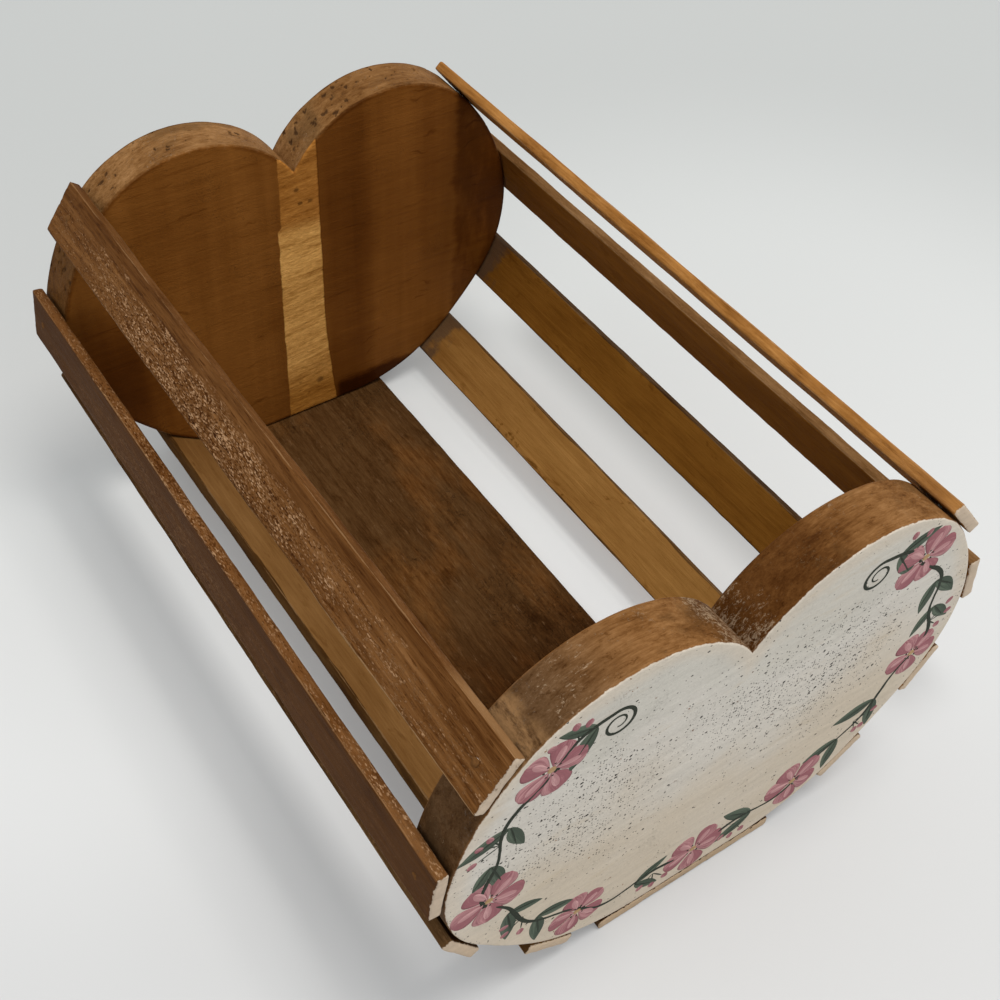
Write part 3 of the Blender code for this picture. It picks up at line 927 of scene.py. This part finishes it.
def vine_tree():
    """Thin flat strokes that follow the edges of the mesh it is put on, as wide as the points say."""
    inputs = {"Geometry": "Geometry", "Height": "Float", "Finish": "Material"}
    graph, given, identifiers = new_tree("vine_strokes", inputs)
    line = graph.add("GeometryNodeMeshToCurve", {"Mesh": given["Geometry"]})
    circle = graph.add("GeometryNodeCurvePrimitiveCircle", {"Resolution": 10, "Radius": 0.5})
    width = graph.carried("width")
    values = {"Curve": line, "Profile Curve": circle, "Scale": width, "Fill Caps": True}
    tube = graph.add("GeometryNodeCurveToMesh", values)
    position = graph.add("GeometryNodeInputPosition")
    x, y, z = position.split()
    off = y - (FRONT + 0.0001)
    off = off * (given["Height"] / 0.0016)
    flat = graph.joined(x, off + (FRONT + 0.0001), z)
    tube = graph.add("GeometryNodeSetPosition", {"Geometry": tube, "Position": flat})
    close_tree(graph, tube, given["Finish"])
    return graph.tree, identifiers


def new_object(name, data):
    """A new object in the scene."""
    made = bpy.data.objects.new(name, data)
    bpy.context.scene.collection.objects.link(made)
    return made


def bake(name, source, tree, identifiers, values):
    """The plain mesh that the tree makes from the source mesh, as an object at the origin."""
    carrier = new_object(name + "_source", source)
    modifier = carrier.modifiers.new("maker", "NODES")
    modifier.node_group = tree
    for label, value in values.items():
        modifier[identifiers[label]] = value
    bpy.context.view_layer.update()
    depsgraph = bpy.context.evaluated_depsgraph_get()
    made = carrier.evaluated_get(depsgraph)
    mesh = bpy.data.meshes.new_from_object(made, preserve_all_data_layers=True, depsgraph=depsgraph)
    carrier.modifiers.remove(modifier)
    bpy.data.objects.remove(carrier)
    mesh.name = name
    return new_object(name, mesh)


def hold(piece, slot, *nodes):
    """Makes the piece part of the planter, in place of these solids."""
    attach(piece, "root")
    if nodes:
        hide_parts(*nodes)


def point_mesh(name, places, **attributes):
    """A mesh of loose points that carry these values."""
    mesh = bpy.data.meshes.new(name)
    mesh.from_pydata([tuple(place) for place in places], [], [])
    for label, values in attributes.items():
        add_attribute(mesh, label, values)
    return mesh


def add_attribute(mesh, label, values):
    """Stores one number, vector or colour for each point."""
    values = np.array(values, np.float32)
    if values.ndim == 1:
        mesh.attributes.new(label, "FLOAT", "POINT").data.foreach_set("value", values)
    elif values.shape[1] == 3:
        mesh.attributes.new(label, "FLOAT_VECTOR", "POINT").data.foreach_set("vector", values.ravel())
    else:
        mesh.attributes.new(label, "FLOAT_COLOR", "POINT").data.foreach_set("color", values.ravel())


# Heart outline

def direction(angle):
    """The unit vector at this angle, across and up."""
    return np.array([math.cos(angle), math.sin(angle)])


def heart_half(sizes):
    """Points down the heart's right half, from notch to flat bottom, and the way that its edge faces."""
    across = math.sqrt(2 * sizes.lobe_radius * sizes.notch_depth - sizes.notch_depth**2)
    start = math.acos(-across / sizes.lobe_radius)
    shoulder_end = sizes.lobe_end - sizes.shoulder_sweep
    side_end = shoulder_end - sizes.side_sweep
    stretches = (
        (sizes.lobe_radius, sizes.lobe_end),
        (sizes.shoulder_radius, shoulder_end),
        (sizes.side_radius, side_end),
        (sizes.flank_radius, side_end - sizes.flank_sweep),
        (sizes.corner_radius, math.radians(-90)),
    )
    centre = np.array([across, 0.0])
    previous = sizes.lobe_radius
    points = []
    facings = []
    for radius, end in stretches:
        centre = centre + (previous - radius) * direction(start)
        steps = math.ceil(radius * (start - end) / sizes.spacing)
        for step in range(0 if not points else 1, steps + 1):
            angle = start + (end - start) * step / steps
            points.append(centre + radius * direction(angle))
            facings.append(direction(angle))
        start = end
        previous = radius
    bottom = points[-1].copy()
    count = math.ceil(bottom[0] / sizes.spacing)
    for step in range(1, count + 1):
        points.append(np.array([bottom[0] * (1 - step / count), bottom[1]]))
        facings.append(np.array([0.0, -1.0]))
    points = np.array(points)
    facings = np.array(facings)
    points[0, 0] = 0.0
    facings[0] = (0.0, 1.0 / facings[0, 1])
    points[:, 1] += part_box("front_heart")[0].z - bottom[1]
    return points, facings


def heart_outline(sizes):
    """The heart's closed outline and the way that its edge faces at each point."""
    points, facings = heart_half(sizes)
    mirror = np.array([-1.0, 1.0])
    points = np.concatenate([points, points[-2:0:-1] * mirror])
    facings = np.concatenate([facings, facings[-2:0:-1] * mirror])
    return points, facings


def heart_profile(front, back, rounding, spacing):
    """Stations over a heart board's edge as (inset, depth, side), from its front to its back face."""
    insets = (0.0090, 0.0060, 0.0040, 0.0026, 0.0018)
    corner_steps = 4
    stations = [(inset, front, 0.0) for inset in insets]
    for step in range(corner_steps + 1):
        angle = math.radians(90) * step / corner_steps
        depth = front + rounding * (1 - math.cos(angle))
        stations.append((rounding * (1 - math.sin(angle)), depth, step / corner_steps))
    near_half = stations[:]
    count = round((back - front - 2 * rounding) / spacing)
    for step in range(1, count):
        stations.append((0.0, front + rounding + (back - front - 2 * rounding) * step / count, 1.0))
    for inset, depth, side in reversed(near_half):
        stations.append((inset, front + back - depth, side))
    return stations


def edge_wear(spot, side):
    """Depth that the edge has lost at this place: it is uneven all over and chipped at its corners."""
    mean_wear = 0.00012
    unevenness = 0.00010
    chip_depth = 0.00030
    if side == 0:
        return 0.0
    worn = mean_wear + unevenness * noise.fractal(spot * 160, 1.0, 2.0, 3) * side
    if side < 1:
        worn += chip_depth * max(0.0, noise.noise(spot * 90 + Vector((3.1, 7.7, 1.3))))
    return worn


def heart_mesh(name, sizes, front, back, pitted):
    """A worn heart board: its outline swept round a rounded edge, with flat faces and torn pits."""
    points, facings = heart_outline(sizes)
    stations = heart_profile(front, back, sizes.edge_round, sizes.spacing)
    count = len(points)
    places = []
    carried = {"side": [], "inset": [], "pit": [], "crowd": []}
    for inset, depth, side in stations:
        for point, facing in zip(points, facings):
            spot = Vector((point[0], depth, point[1]))
            crowd = pit_crowd(spot) if pitted else 0.0
            pit = pit_amount(spot, crowd) if pitted and side > 0.5 else 0.0
            bite = edge_wear(spot, side) + sizes.pit_depth * pit
            where = point - facing * (inset + max(bite, 0.0))
            places.append((where[0], depth, where[1]))
            for values, value in zip(carried.values(), (side, inset, pit, crowd)):
                values.append(value)
    faces = []
    for ring in range(len(stations) - 1):
        for step in range(count):
            after = (step + 1) % count
            first = ring * count
            second = first + count
            faces.append((first + step, first + after, second + after, second + step))
    faces.append(tuple(reversed(range(count))))
    last = (len(stations) - 1) * count
    faces.append(tuple(range(last, last + count)))
    mesh = bpy.data.meshes.new(name)
    mesh.from_pydata(places, [], faces)
    mesh.validate()
    for label, values in carried.items():
        add_attribute(mesh, label, values)
    mesh.shade_smooth()
    mesh.set_sharp_from_angle(angle=math.radians(34))
    return mesh


def pit_crowd(spot):
    """How closely torn pits stand at this place: they crowd by the notch and on the left shoulder."""
    if spot.z < 0.05:
        return 0.0
    by_notch = max(0.0, 1.0 - abs(spot.x - 0.010) / 0.034) * (1.0 if spot.x > 0 else 0.25)
    on_shoulder = max(0.0, 1.0 - abs(spot.x + 0.088) / 0.020)
    return max(by_notch, on_shoulder)


def pit_amount(spot, crowd):
    """How deep a torn pit is at this place, from 0 to 1."""
    pit_spacing = 1 / 440
    wander = 0.0011 * noise.noise_vector(spot * 900)
    gaps, centres = noise.voronoi((spot + wander) / pit_spacing)
    draw = noise.cell(centres[0] * 7.3)
    chance = noise.noise(spot * 110 + Vector((9.2, 1.4, 5.5)))
    if chance + 0.5 * draw < 0.58 - 0.50 * crowd:
        return 0.0
    return min(1.0, max(0.0, 0.9 + 1.6 * draw - 4.6 * gaps[0]))


# Operators

class PlanterOperator:
    """What the planter's operators share."""
    bl_options = {"REGISTER", "UNDO"}


class PLANTER_OT_stage(PlanterOperator, bpy.types.Operator):
    """Make the floor, the lights and the camera"""
    bl_idname = "planter.stage"
    bl_label = "Stage"

    camera_target = Vector((0.0243, 0.0253, 0.0215))
    lens_shift = (0.0217, 0.0029)
    lamp_place = Vector((0.30, -0.30, 1.87))
    lamp_target = Vector((0.0, 0.0, 0.05))

    def execute(self, context):
        sizes = context.scene.planter.stage
        self.add_camera(context, sizes)
        self.add_floor(sizes)
        self.add_light(context, sizes)
        context.scene.view_settings.view_transform = "Standard"
        return {"FINISHED"}

    def add_camera(self, context, sizes):
        turn, tilt, roll = sizes.camera_turn, sizes.camera_tilt, sizes.camera_roll
        level_part = math.cos(tilt)
        back = Vector((math.sin(turn) * level_part, -math.cos(turn) * level_part, math.sin(tilt)))
        level = (-back).cross(Vector((0.0, 0.0, 1.0))).normalized()
        upright = level.cross(-back)
        right = level * math.cos(roll) + upright * math.sin(roll)
        up = upright * math.cos(roll) - level * math.sin(roll)
        data = bpy.data.cameras.new("camera")
        data.sensor_width = 36.0
        data.sensor_fit = "HORIZONTAL"
        data.lens = sizes.focal_length
        data.shift_x, data.shift_y = self.lens_shift
        data.clip_start = 0.01
        data.clip_end = 50.0
        camera = new_object("camera", data)
        matrix = Matrix((right, up, back)).transposed().to_4x4()
        matrix.translation = self.camera_target + back * sizes.camera_distance
        camera.matrix_world = matrix
        context.scene.camera = camera

    def add_floor(self, sizes):
        half = sizes.floor_size / 2
        gap_under_board = 0.0002
        level = CAD_LOW.z - gap_under_board
        mesh = bpy.data.meshes.new("floor")
        corners = [(-half, -half), (half, -half), (half, half), (-half, half)]
        mesh.from_pydata([(x, y, level) for x, y in corners], [], [(0, 1, 2, 3)])
        material, graph = new_material("pale_floor")
        place = object_place(graph)
        # Painted light: the floor is painted lighter near the viewer and darker far off.
        x, y, _ = place.split()
        away = x * 0.42 + y * 0.91
        close_tone = tinted(sizes.floor_colour, (1.06, 1.06, 1.08))
        far_tone = tinted(sizes.floor_colour, (0.81, 0.83, 0.835))
        tone = graph.mix(away.step(-0.38, 0.42), close_tone, far_tone)
        # Painted pools of light lie to the right of the planter and by its left side.
        painted_light_right = graph.near(x, 0.20, y, 0.03, 0.30)
        painted_light_left = graph.near(x, -0.13, y, 0.06, 0.16)
        tone = graph.shade(tone, painted_light_right.span(1.0, 1.13) * painted_light_left.span(1.0, 1.13))
        # Painted light beside the board, and a painted shadow under the upper right slats.
        within = abs(y).step(0.15, 0.11)
        painted_light_strip = x.step(0.03, 0.044) * x.step(0.115, 0.085) * within
        dark = abs(x - 0.127).step(0.024, 0.004) * within
        tone = graph.shade(tone, painted_light_strip.span(1.0, 1.28) * dark.span(1.0, 0.74))
        shaded = graph.add("ShaderNodeBsdfDiffuse", {"Color": tone, "Roughness": 0.5})
        glow = graph.add("ShaderNodeEmission", {"Color": tone, "Strength": 1.0})
        seen = graph.add("ShaderNodeLightPath", output="Is Camera Ray")
        seen = seen.most(graph.add("ShaderNodeLightPath", output="Is Glossy Ray"))
        seen = seen.most(graph.add("ShaderNodeLightPath", output="Is Transmission Ray"))
        glow_share = 0.22
        surface = graph.add("ShaderNodeMixShader", {0: seen * glow_share, 1: shaded, 2: glow})
        graph.add("ShaderNodeOutputMaterial", {"Surface": surface}, output=None)
        mesh.materials.append(material)
        floor = new_object("floor", mesh)

    def add_light(self, context, sizes):
        world = bpy.data.worlds.new("sky")
        world.use_nodes = True
        shade = world.node_tree.nodes["Background"]
        shade.inputs["Color"].default_value = (0.985, 1.0, 0.985, 1.0)
        shade.inputs["Strength"].default_value = sizes.sky
        context.scene.world = world
        data = bpy.data.lights.new("lamp", "AREA")
        data.shape = "DISK"
        data.size = 0.8
        data.energy = sizes.lamp
        data.color = (1.0, 0.97, 0.92)
        lamp = new_object("lamp", data)
        aim = (self.lamp_place - self.lamp_target).normalized()
        turn = aim.to_track_quat("Z", "Y").to_matrix().to_4x4()
        lamp.matrix_world = Matrix.Translation(self.lamp_place) @ turn


class PLANTER_OT_hearts(PlanterOperator, bpy.types.Operator):
    """Make the two heart boards"""
    bl_idname = "planter.hearts"
    bl_label = "Hearts"

    def execute(self, context):
        planter = context.scene.planter
        noise.seed_set(PIT_SEED)
        hearts = (
            ("front_heart", front_heart_material, "painted_wood", PAINT_ROOM, False),
            ("back_heart", back_heart_material, "dark_wood", 0.0, True),
        )
        for node, make, slot, sunk, pitted in hearts:
            low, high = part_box(node)
            mesh = heart_mesh("worn_" + node, planter.hearts, low.y + sunk, high.y, pitted)
            mesh.materials.append(make(node + "_wood", planter.finish))
            hold(new_object("worn_" + node, mesh), slot, node)
        return {"FINISHED"}


def slat_places():
    """Each slat's hand, side and number, the angle that it faces and its middle."""
    for hand, side, angles in (("right", 1, RIGHT_SEAT_ANGLES), ("left", -1, LEFT_SEAT_ANGLES)):
        for number, degrees in enumerate(angles, start=1):
            low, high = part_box(f"{hand}_slat_{number}")
            yield hand, side, number, math.radians(degrees), (low + high) / 2


# Per slat: stain of the faces, stain of the narrow edges, then weathering of the outer face, fur along
# the edges and rubbing of the corners, and how strong its blotches, old glue and run stain are
# Part of the face stains' spread is painted shade: right 2 and left 2 face away from the lamp and are
# darker.
SLAT_LOOKS = {
    ("right", 1): ((0.315, 0.136, 0.034), (0.320, 0.138, 0.034), (0.25, 0.10, 0.70), (0.2, 0.0, 0.3)),
    ("right", 2): ((0.205, 0.078, 0.012), (0.165, 0.082, 0.030), (0.10, 0.15, 0.50), (0.2, 0.0, 0.3)),
    ("right", 3): ((0.262, 0.107, 0.0155), (0.090, 0.042, 0.014), (0.05, 0.00, 0.45), (0.6, 1.0, 0.4)),
    ("right", 4): ((0.380, 0.185, 0.048), (0.130, 0.060, 0.018), (0.05, 0.00, 0.45), (1.2, 1.0, 0.6)),
    ("left", 1): ((0.162, 0.068, 0.0200), (0.115, 0.046, 0.013), (1.00, 0.12, 0.50), (0.2, 0.0, 0.3)),
    ("left", 2): ((0.085, 0.034, 0.010), (0.150, 0.060, 0.017), (0.16, 0.85, 0.45), (0.3, 0.0, 0.5)),
    ("left", 3): ((0.085, 0.037, 0.012), (0.070, 0.033, 0.011), (0.30, 0.20, 0.45), (0.3, 0.0, 0.3)),
    ("left", 4): ((0.205, 0.100, 0.031), (0.070, 0.031, 0.008), (0.10, 0.00, 0.45), (0.6, 0.0, 1.0)),
}
# Bow of the one slat that isn't straight, less than 0 because it bends inward
SLAT_BOWS = {("left", 4): -0.0006}


class PLANTER_OT_slats(PlanterOperator, bpy.types.Operator):
    """Make the eight side slats"""
    bl_idname = "planter.slats"
    bl_label = "Slats"

    def execute(self, context):
        planter = context.scene.planter
        sizes = planter.slats
        finish = slat_material("honey_slat_wood", planter.finish)
        tree, identifiers = board_tree()
        for seed, (hand, side, number, angle, middle) in enumerate(slat_places(), start=1):
            stain, edge_stain, weather, flaws = SLAT_LOOKS[hand, number]
            node = f"{hand}_slat_{number}"
            values = {
                "Width": sizes.width, "Thickness": sizes.thickness, "Length": BACK - FRONT,
                "Spacing": sizes.spacing, "Edge": sizes.edge_round, "Wear": sizes.wear * (0.6 + weather[0]),
                "Bow": SLAT_BOWS.get((hand, number), 0.0), "Seed": float(seed),
                "Turn": -angle if side > 0 else angle - math.pi,
                "Place": middle, "Stain": (*stain, 1.0), "Edge stain": (*edge_stain, 1.0),
                "Weather": weather, "Flaws": flaws, "Finish": finish,
            }
            source = bpy.data.meshes.new(node + "_blank")
            piece = bake("worn_" + node, source, tree, identifiers, values)
            hold(piece, "honey_wood", node)
        return {"FINISHED"}


class PLANTER_OT_board(PlanterOperator, bpy.types.Operator):
    """Make the bottom board"""
    bl_idname = "planter.board"
    bl_label = "Bottom board"

    def execute(self, context):
        planter = context.scene.planter
        sizes = planter.board
        low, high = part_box("bottom_board")
        finish = board_material("brown_board_wood", planter.finish)
        stain = (*planter.finish.board_stain, 1.0)
        tree, identifiers = board_tree()
        values = {
            "Width": high.x - low.x, "Thickness": high.z - low.z, "Length": high.y - low.y,
            "Spacing": sizes.spacing, "Edge": sizes.edge_round, "Wear": sizes.wear, "Bow": 0.0,
            "Seed": 11.0, "Turn": math.radians(-90), "Place": (low + high) / 2, "Stain": stain,
            "Edge stain": stain, "Weather": (0.0, 0.0, 0.0), "Flaws": (0.0, 0.0, 0.0), "Finish": finish,
        }
        source = bpy.data.meshes.new("board_blank")
        piece = bake("worn_bottom_board", source, tree, identifiers, values)
        hold(piece, "brown_wood", "bottom_board")
        return {"FINISHED"}


class PLANTER_OT_nails(PlanterOperator, bpy.types.Operator):
    """Make the brads in the slats, their filler and the nails under the board"""
    bl_idname = "planter.nails"
    bl_label = "Nails"

    def execute(self, context):
        planter = context.scene.planter
        sizes = planter.nails
        low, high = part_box("front_heart")
        offset = (BACK - FRONT) / 2 - (high.y - low.y) / 2
        steel = plain_material("nail_wire", planter.finish.steel, 0.42, 1.0, 900.0)
        tree, identifiers = nail_tree()
        heads, facings, nodes = [], [], []
        for hand, side, number, angle, middle in slat_places():
            outward = Vector((side * math.cos(angle), 0.0, math.sin(angle)))
            face = middle + outward * planter.slats.thickness / 2
            for end, end_side in ENDS:
                heads.append(face + Vector((0.0, end_side * offset, 0.0)))
                facings.append(outward)
                nodes.append(f"{hand}_brad_{number}_{end}")
        values = {
            "Head": sizes.head_diameter, "Shank": sizes.shank_diameter, "Length": sizes.brad_length,
            "Depth": sizes.set_depth, "Sides": sizes.sides, "Finish": steel,
        }
        source = point_mesh("brad_heads", heads, facing=facings)
        hold(bake("slat_brads", source, tree, identifiers, values), "nail_steel", *nodes)
        filler = plain_material("brad_filler", planter.finish.filler, 0.75, 0.0, 1400.0)
        dab_tree, dab_identifiers = filling_tree()
        sunk = 0.00015
        spots = [head - facing * sunk for head, facing in zip(heads, facings)]
        source = point_mesh("filler_spots", spots, facing=facings)
        dab = {"Diameter": sizes.filling_diameter, "Height": 2 * sunk, "Finish": filler}
        hold(bake("brad_fillings", source, dab_tree, dab_identifiers, dab), "honey_wood")
        heads, nodes = [], []
        for end, end_side in ENDS:
            for hand, hand_side in HANDS:
                heads.append(Vector((hand_side * sizes.nail_spacing / 2, end_side * offset, CAD_LOW.z)))
                nodes.append(f"board_nail_{end}_{hand}")
        source = point_mesh("nail_heads", heads, facing=[Vector((0.0, 0.0, -1.0))] * len(heads))
        values["Length"] = sizes.nail_length
        hold(bake("board_nails", source, tree, identifiers, values), "nail_steel", *nodes)
        return {"FINISHED"}


class PLANTER_OT_garland(PlanterOperator, bpy.types.Operator):
    """Paint the garland of blossoms, leaves and vine on the front face"""
    bl_idname = "planter.garland"
    bl_label = "Garland"

    def execute(self, context):
        planter = context.scene.planter
        sizes = planter.garland
        finish = planter.finish
        draw = np.random.default_rng(sizes.seed)
        paint = stroke_material("garland_paint")
        points, facings = heart_outline(planter.hearts)
        inner = points - facings * sizes.inset
        self.strokes = []
        self.add_blossoms(inner, sizes, finish, draw)
        self.add_leaves(inner, sizes, finish, draw)
        self.add_buds(inner, finish, draw)
        sunk = 0.00001
        face = FRONT + PAINT_ROOM + sunk
        labels = ("turn", "reach", "breadth", "bend", "belly", "bluntness", "lift")
        values = {label: [stroke[label] for stroke in self.strokes] for label in labels}
        values["root"] = [(stroke["x"], face, stroke["z"]) for stroke in self.strokes]
        # Each stroke's bristles come from another place in the noise.
        bristle_step = 1.7
        values["number"] = [index * bristle_step for index in range(len(self.strokes))]
        values["tone"] = [(*stroke["tone"], 1.0) for stroke in self.strokes]
        values["tint"] = [(*stroke["tint"], 1.0) for stroke in self.strokes]
        tree, identifiers = stroke_tree()
        source = point_mesh("stroke_roots", [(0.0, 0.0, 0.0)] * len(self.strokes), **values)
        given = {"Height": sizes.height, "Finish": paint}
        hold(bake("garland_strokes", source, tree, identifiers, given), "painted_wood")
        tree, identifiers = vine_tree()
        vine = plain_material("vine_paint", finish.vine, 0.55, 0.0, 900.0)
        source = self.path_mesh(self.vine_paths(inner))
        given = {"Height": sizes.height, "Finish": vine}
        hold(bake("garland_vine", source, tree, identifiers, given), "painted_wood")
        return {"FINISHED"}

    def add(self, x, z, turn, reach, breadth, tone, tint, belly, bluntness, lift, bend=0.0):
        """One stroke from a root at x and z, with its turn, length, breadth, colours and form."""
        self.strokes.append({
            "x": x, "z": z, "turn": turn, "reach": reach, "breadth": breadth, "tone": tone, "tint": tint,
            "bend": bend, "belly": belly, "bluntness": bluntness, "lift": lift,
        })

    def at(self, inner, share):
        """The point this share of the way round the inner outline from the notch, and the way on."""
        near_by = 6
        index = int(share * len(inner)) % len(inner)
        ahead = inner[(index + near_by) % len(inner)] - inner[index - near_by]
        return inner[index], math.atan2(ahead[1], ahead[0])

    def vine_paths(self, inner):
        """A winding vine down each side, whose top end turns in on itself in a plain curl."""
        start_share = 0.10
        length_share = 0.385
        steps = 150
        widest_sway = 0.0022
        thinnest = 0.0011
        paths = []
        for side in (1, -1):
            path = []
            for step in range(steps):
                share = start_share + length_share * step / (steps - 1)
                place, ahead = self.at(inner, share if side > 0 else 1 - share)
                sway = widest_sway * math.sin(step * 0.21) * min(1.0, step / 20)
                width = thinnest + 0.0007 * math.sin(step * 0.11 + 1) ** 2
                off = direction(ahead + math.pi / 2) * sway
                path.append((place[0] + off[0], place[1] + off[1], width))
            start = np.array(path[0][:2])
            on = np.array(path[0][:2]) - np.array(path[4][:2])
            on /= np.linalg.norm(on)
            inward = np.array([side * on[1], -side * on[0]])
            inward *= -1.0 if inward[1] > 0 else 1.0
            radius = 0.0062
            curl_steps = 65
            curl = []
            for step in range(1, curl_steps + 1):
                turned = step * 0.15
                shrunk = radius * (1 - step / 90)
                spot = start + inward * radius + (on * math.sin(turned) - inward * math.cos(turned)) * shrunk
                curl.append((spot[0], spot[1], 0.0015 * (1 - step / 100)))
            paths.append(curl[::-1] + path)
        return paths

    def path_mesh(self, paths):
        """A mesh of chained edges whose points carry the vine's width."""
        mesh = bpy.data.meshes.new("vine_paths")
        places, edges, widths = [], [], []
        for path in paths:
            first = len(places)
            places += [(x, FRONT + 0.0001, z) for x, z, _ in path]
            widths += [width for _, _, width in path]
            edges += [(first + step, first + step + 1) for step in range(len(path) - 1)]
        mesh.from_pydata(places, edges, [])
        add_attribute(mesh, "width", widths)
        return mesh

    def add_blossoms(self, inner, sizes, finish, draw):
        """Five-petal blossoms with a dotted middle."""
        petal, light, vine = finish.petal, finish.petal_light, finish.vine
        petal_root = 0.0008
        dot_ring = 0.0028
        dot_size = 0.0008
        pale_light = (0.62, 0.36, 0.36)
        middle_tone = (0.42, 0.27, 0.14)
        middle_tint = (0.58, 0.42, 0.24)
        blossoms = (
            (0.155, 1.0), (0.29, 0.92), (0.415, 1.0), (0.5, 0.98), (0.60, 0.95), (0.72, 1.0), (0.845, 0.95),
        )
        for share, scale in blossoms:
            place, _ = self.at(inner, share)
            start = draw.uniform(0, 2 * math.pi)
            for number in range(5):
                angle = start + number * math.radians(72) + draw.normal(0, 0.06)
                reach = sizes.blossom * scale * draw.uniform(0.93, 1.07)
                x, z = place + petal_root * direction(angle)
                bend = draw.normal(0, 0.05)
                lift = 0.4 + 0.1 * number
                self.add(x, z, angle, reach, reach * 0.92, petal, light, 1.7, 0.55, lift, bend)
                angle += draw.normal(0, 0.08)
                self.add(x, z, angle, reach * 0.82, reach * 0.30, light, pale_light, 1.5, 0.7, 1.2)
            x, z = place
            self.add(x - 0.0015, z, 0.0, 0.0030, 0.0030, middle_tone, middle_tint, 1.0, 0.5, 1.7)
            for dot in range(7):
                x, z = place + dot_ring * direction(dot * math.radians(360 / 7) + start)
                self.add(x - dot_size / 2, z, 0.0, dot_size, dot_size, vine, vine, 1.0, 0.5, 1.8)

    def add_leaves(self, inner, sizes, finish, draw):
        """Pairs of pointed leaves that spring from the vine."""
        leaf, light, vine = finish.leaf, finish.leaf_light, finish.vine
        for share in (0.115, 0.20, 0.235, 0.335, 0.37, 0.455, 0.545, 0.645, 0.68, 0.765, 0.80, 0.885):
            (x, z), ahead = self.at(inner, share)
            for lean in (0.55, -0.65):
                on = ahead + lean + draw.normal(0, 0.12)
                if share > 0.5:
                    on = ahead + math.pi - lean + draw.normal(0, 0.12)
                reach = sizes.leaf * draw.uniform(0.75, 1.05)
                bend = draw.normal(0, 0.10)
                self.add(x, z, on, reach, reach * 0.36, leaf, light, 0.85, 0.85, 0.2, bend)
                self.add(x, z, on, reach * 0.8, reach * 0.06, vine, leaf, 0.8, 0.8, 0.9)

    def add_buds(self, inner, finish, draw):
        """Three buds on short stalks at each of these places between the blossoms."""
        for share in (0.13, 0.255, 0.355, 0.47, 0.53, 0.66, 0.785, 0.87):
            place, ahead = self.at(inner, share)
            for number in range(3):
                angle = ahead + math.pi / 2 + (number - 1) * 0.7 + draw.normal(0, 0.1)
                reach = 0.0055 + 0.0012 * number
                x, z = place
                self.add(x, z, angle, reach, 0.0007, finish.vine, finish.leaf, 1.0, 0.5, 0.1)
                x, z = place + reach * direction(angle)
                self.add(x, z, angle, 0.0036, 0.0030, finish.petal, finish.petal_light, 1.0, 0.55, 0.8)


class PLANTER_PT_sidebar(bpy.types.Panel):
    """Lists the planter's pieces and their sizes"""
    bl_idname = "PLANTER_PT_sidebar"
    bl_label = "Basket Planter"
    bl_space_type = "VIEW_3D"
    bl_region_type = "UI"
    bl_category = "Planter"

    def draw(self, context):
        planter = context.scene.planter
        for operator in OPERATORS:
            self.layout.operator(operator.bl_idname)
        for part in ("hearts", "slats", "board", "nails", "garland", "finish", "stage"):
            group = getattr(planter, part)
            box = self.layout.box()
            box.label(text=part.capitalize())
            for key in group.bl_rna.properties.keys():
                if key not in ("rna_type", "name"):
                    box.prop(group, key)


GROUPS = (
    PLANTER_PG_hearts, PLANTER_PG_slats, PLANTER_PG_board, PLANTER_PG_nails, PLANTER_PG_garland,
    PLANTER_PG_finish, PLANTER_PG_stage, PLANTER_PG_all,
)
OPERATORS = (
    PLANTER_OT_stage, PLANTER_OT_hearts, PLANTER_OT_slats, PLANTER_OT_board, PLANTER_OT_nails,
    PLANTER_OT_garland,
)


def register():
    """Adds the classes and the planter's settings to the program."""
    for group in GROUPS + OPERATORS + (PLANTER_PT_sidebar,):
        bpy.utils.register_class(group)
    bpy.types.Scene.planter = PointerProperty(type=PLANTER_PG_all)


def unregister():
    """Takes them out again."""
    del bpy.types.Scene.planter
    for group in reversed(GROUPS + OPERATORS + (PLANTER_PT_sidebar,)):
        bpy.utils.unregister_class(group)


def main():
    """Makes the planter's pieces in order."""
    register()
    for make in (
        bpy.ops.planter.stage,
        bpy.ops.planter.hearts,
        bpy.ops.planter.slats,
        bpy.ops.planter.board,
        bpy.ops.planter.nails,
        bpy.ops.planter.garland,
    ):
        make()


if __name__ == "__main__":
    main()
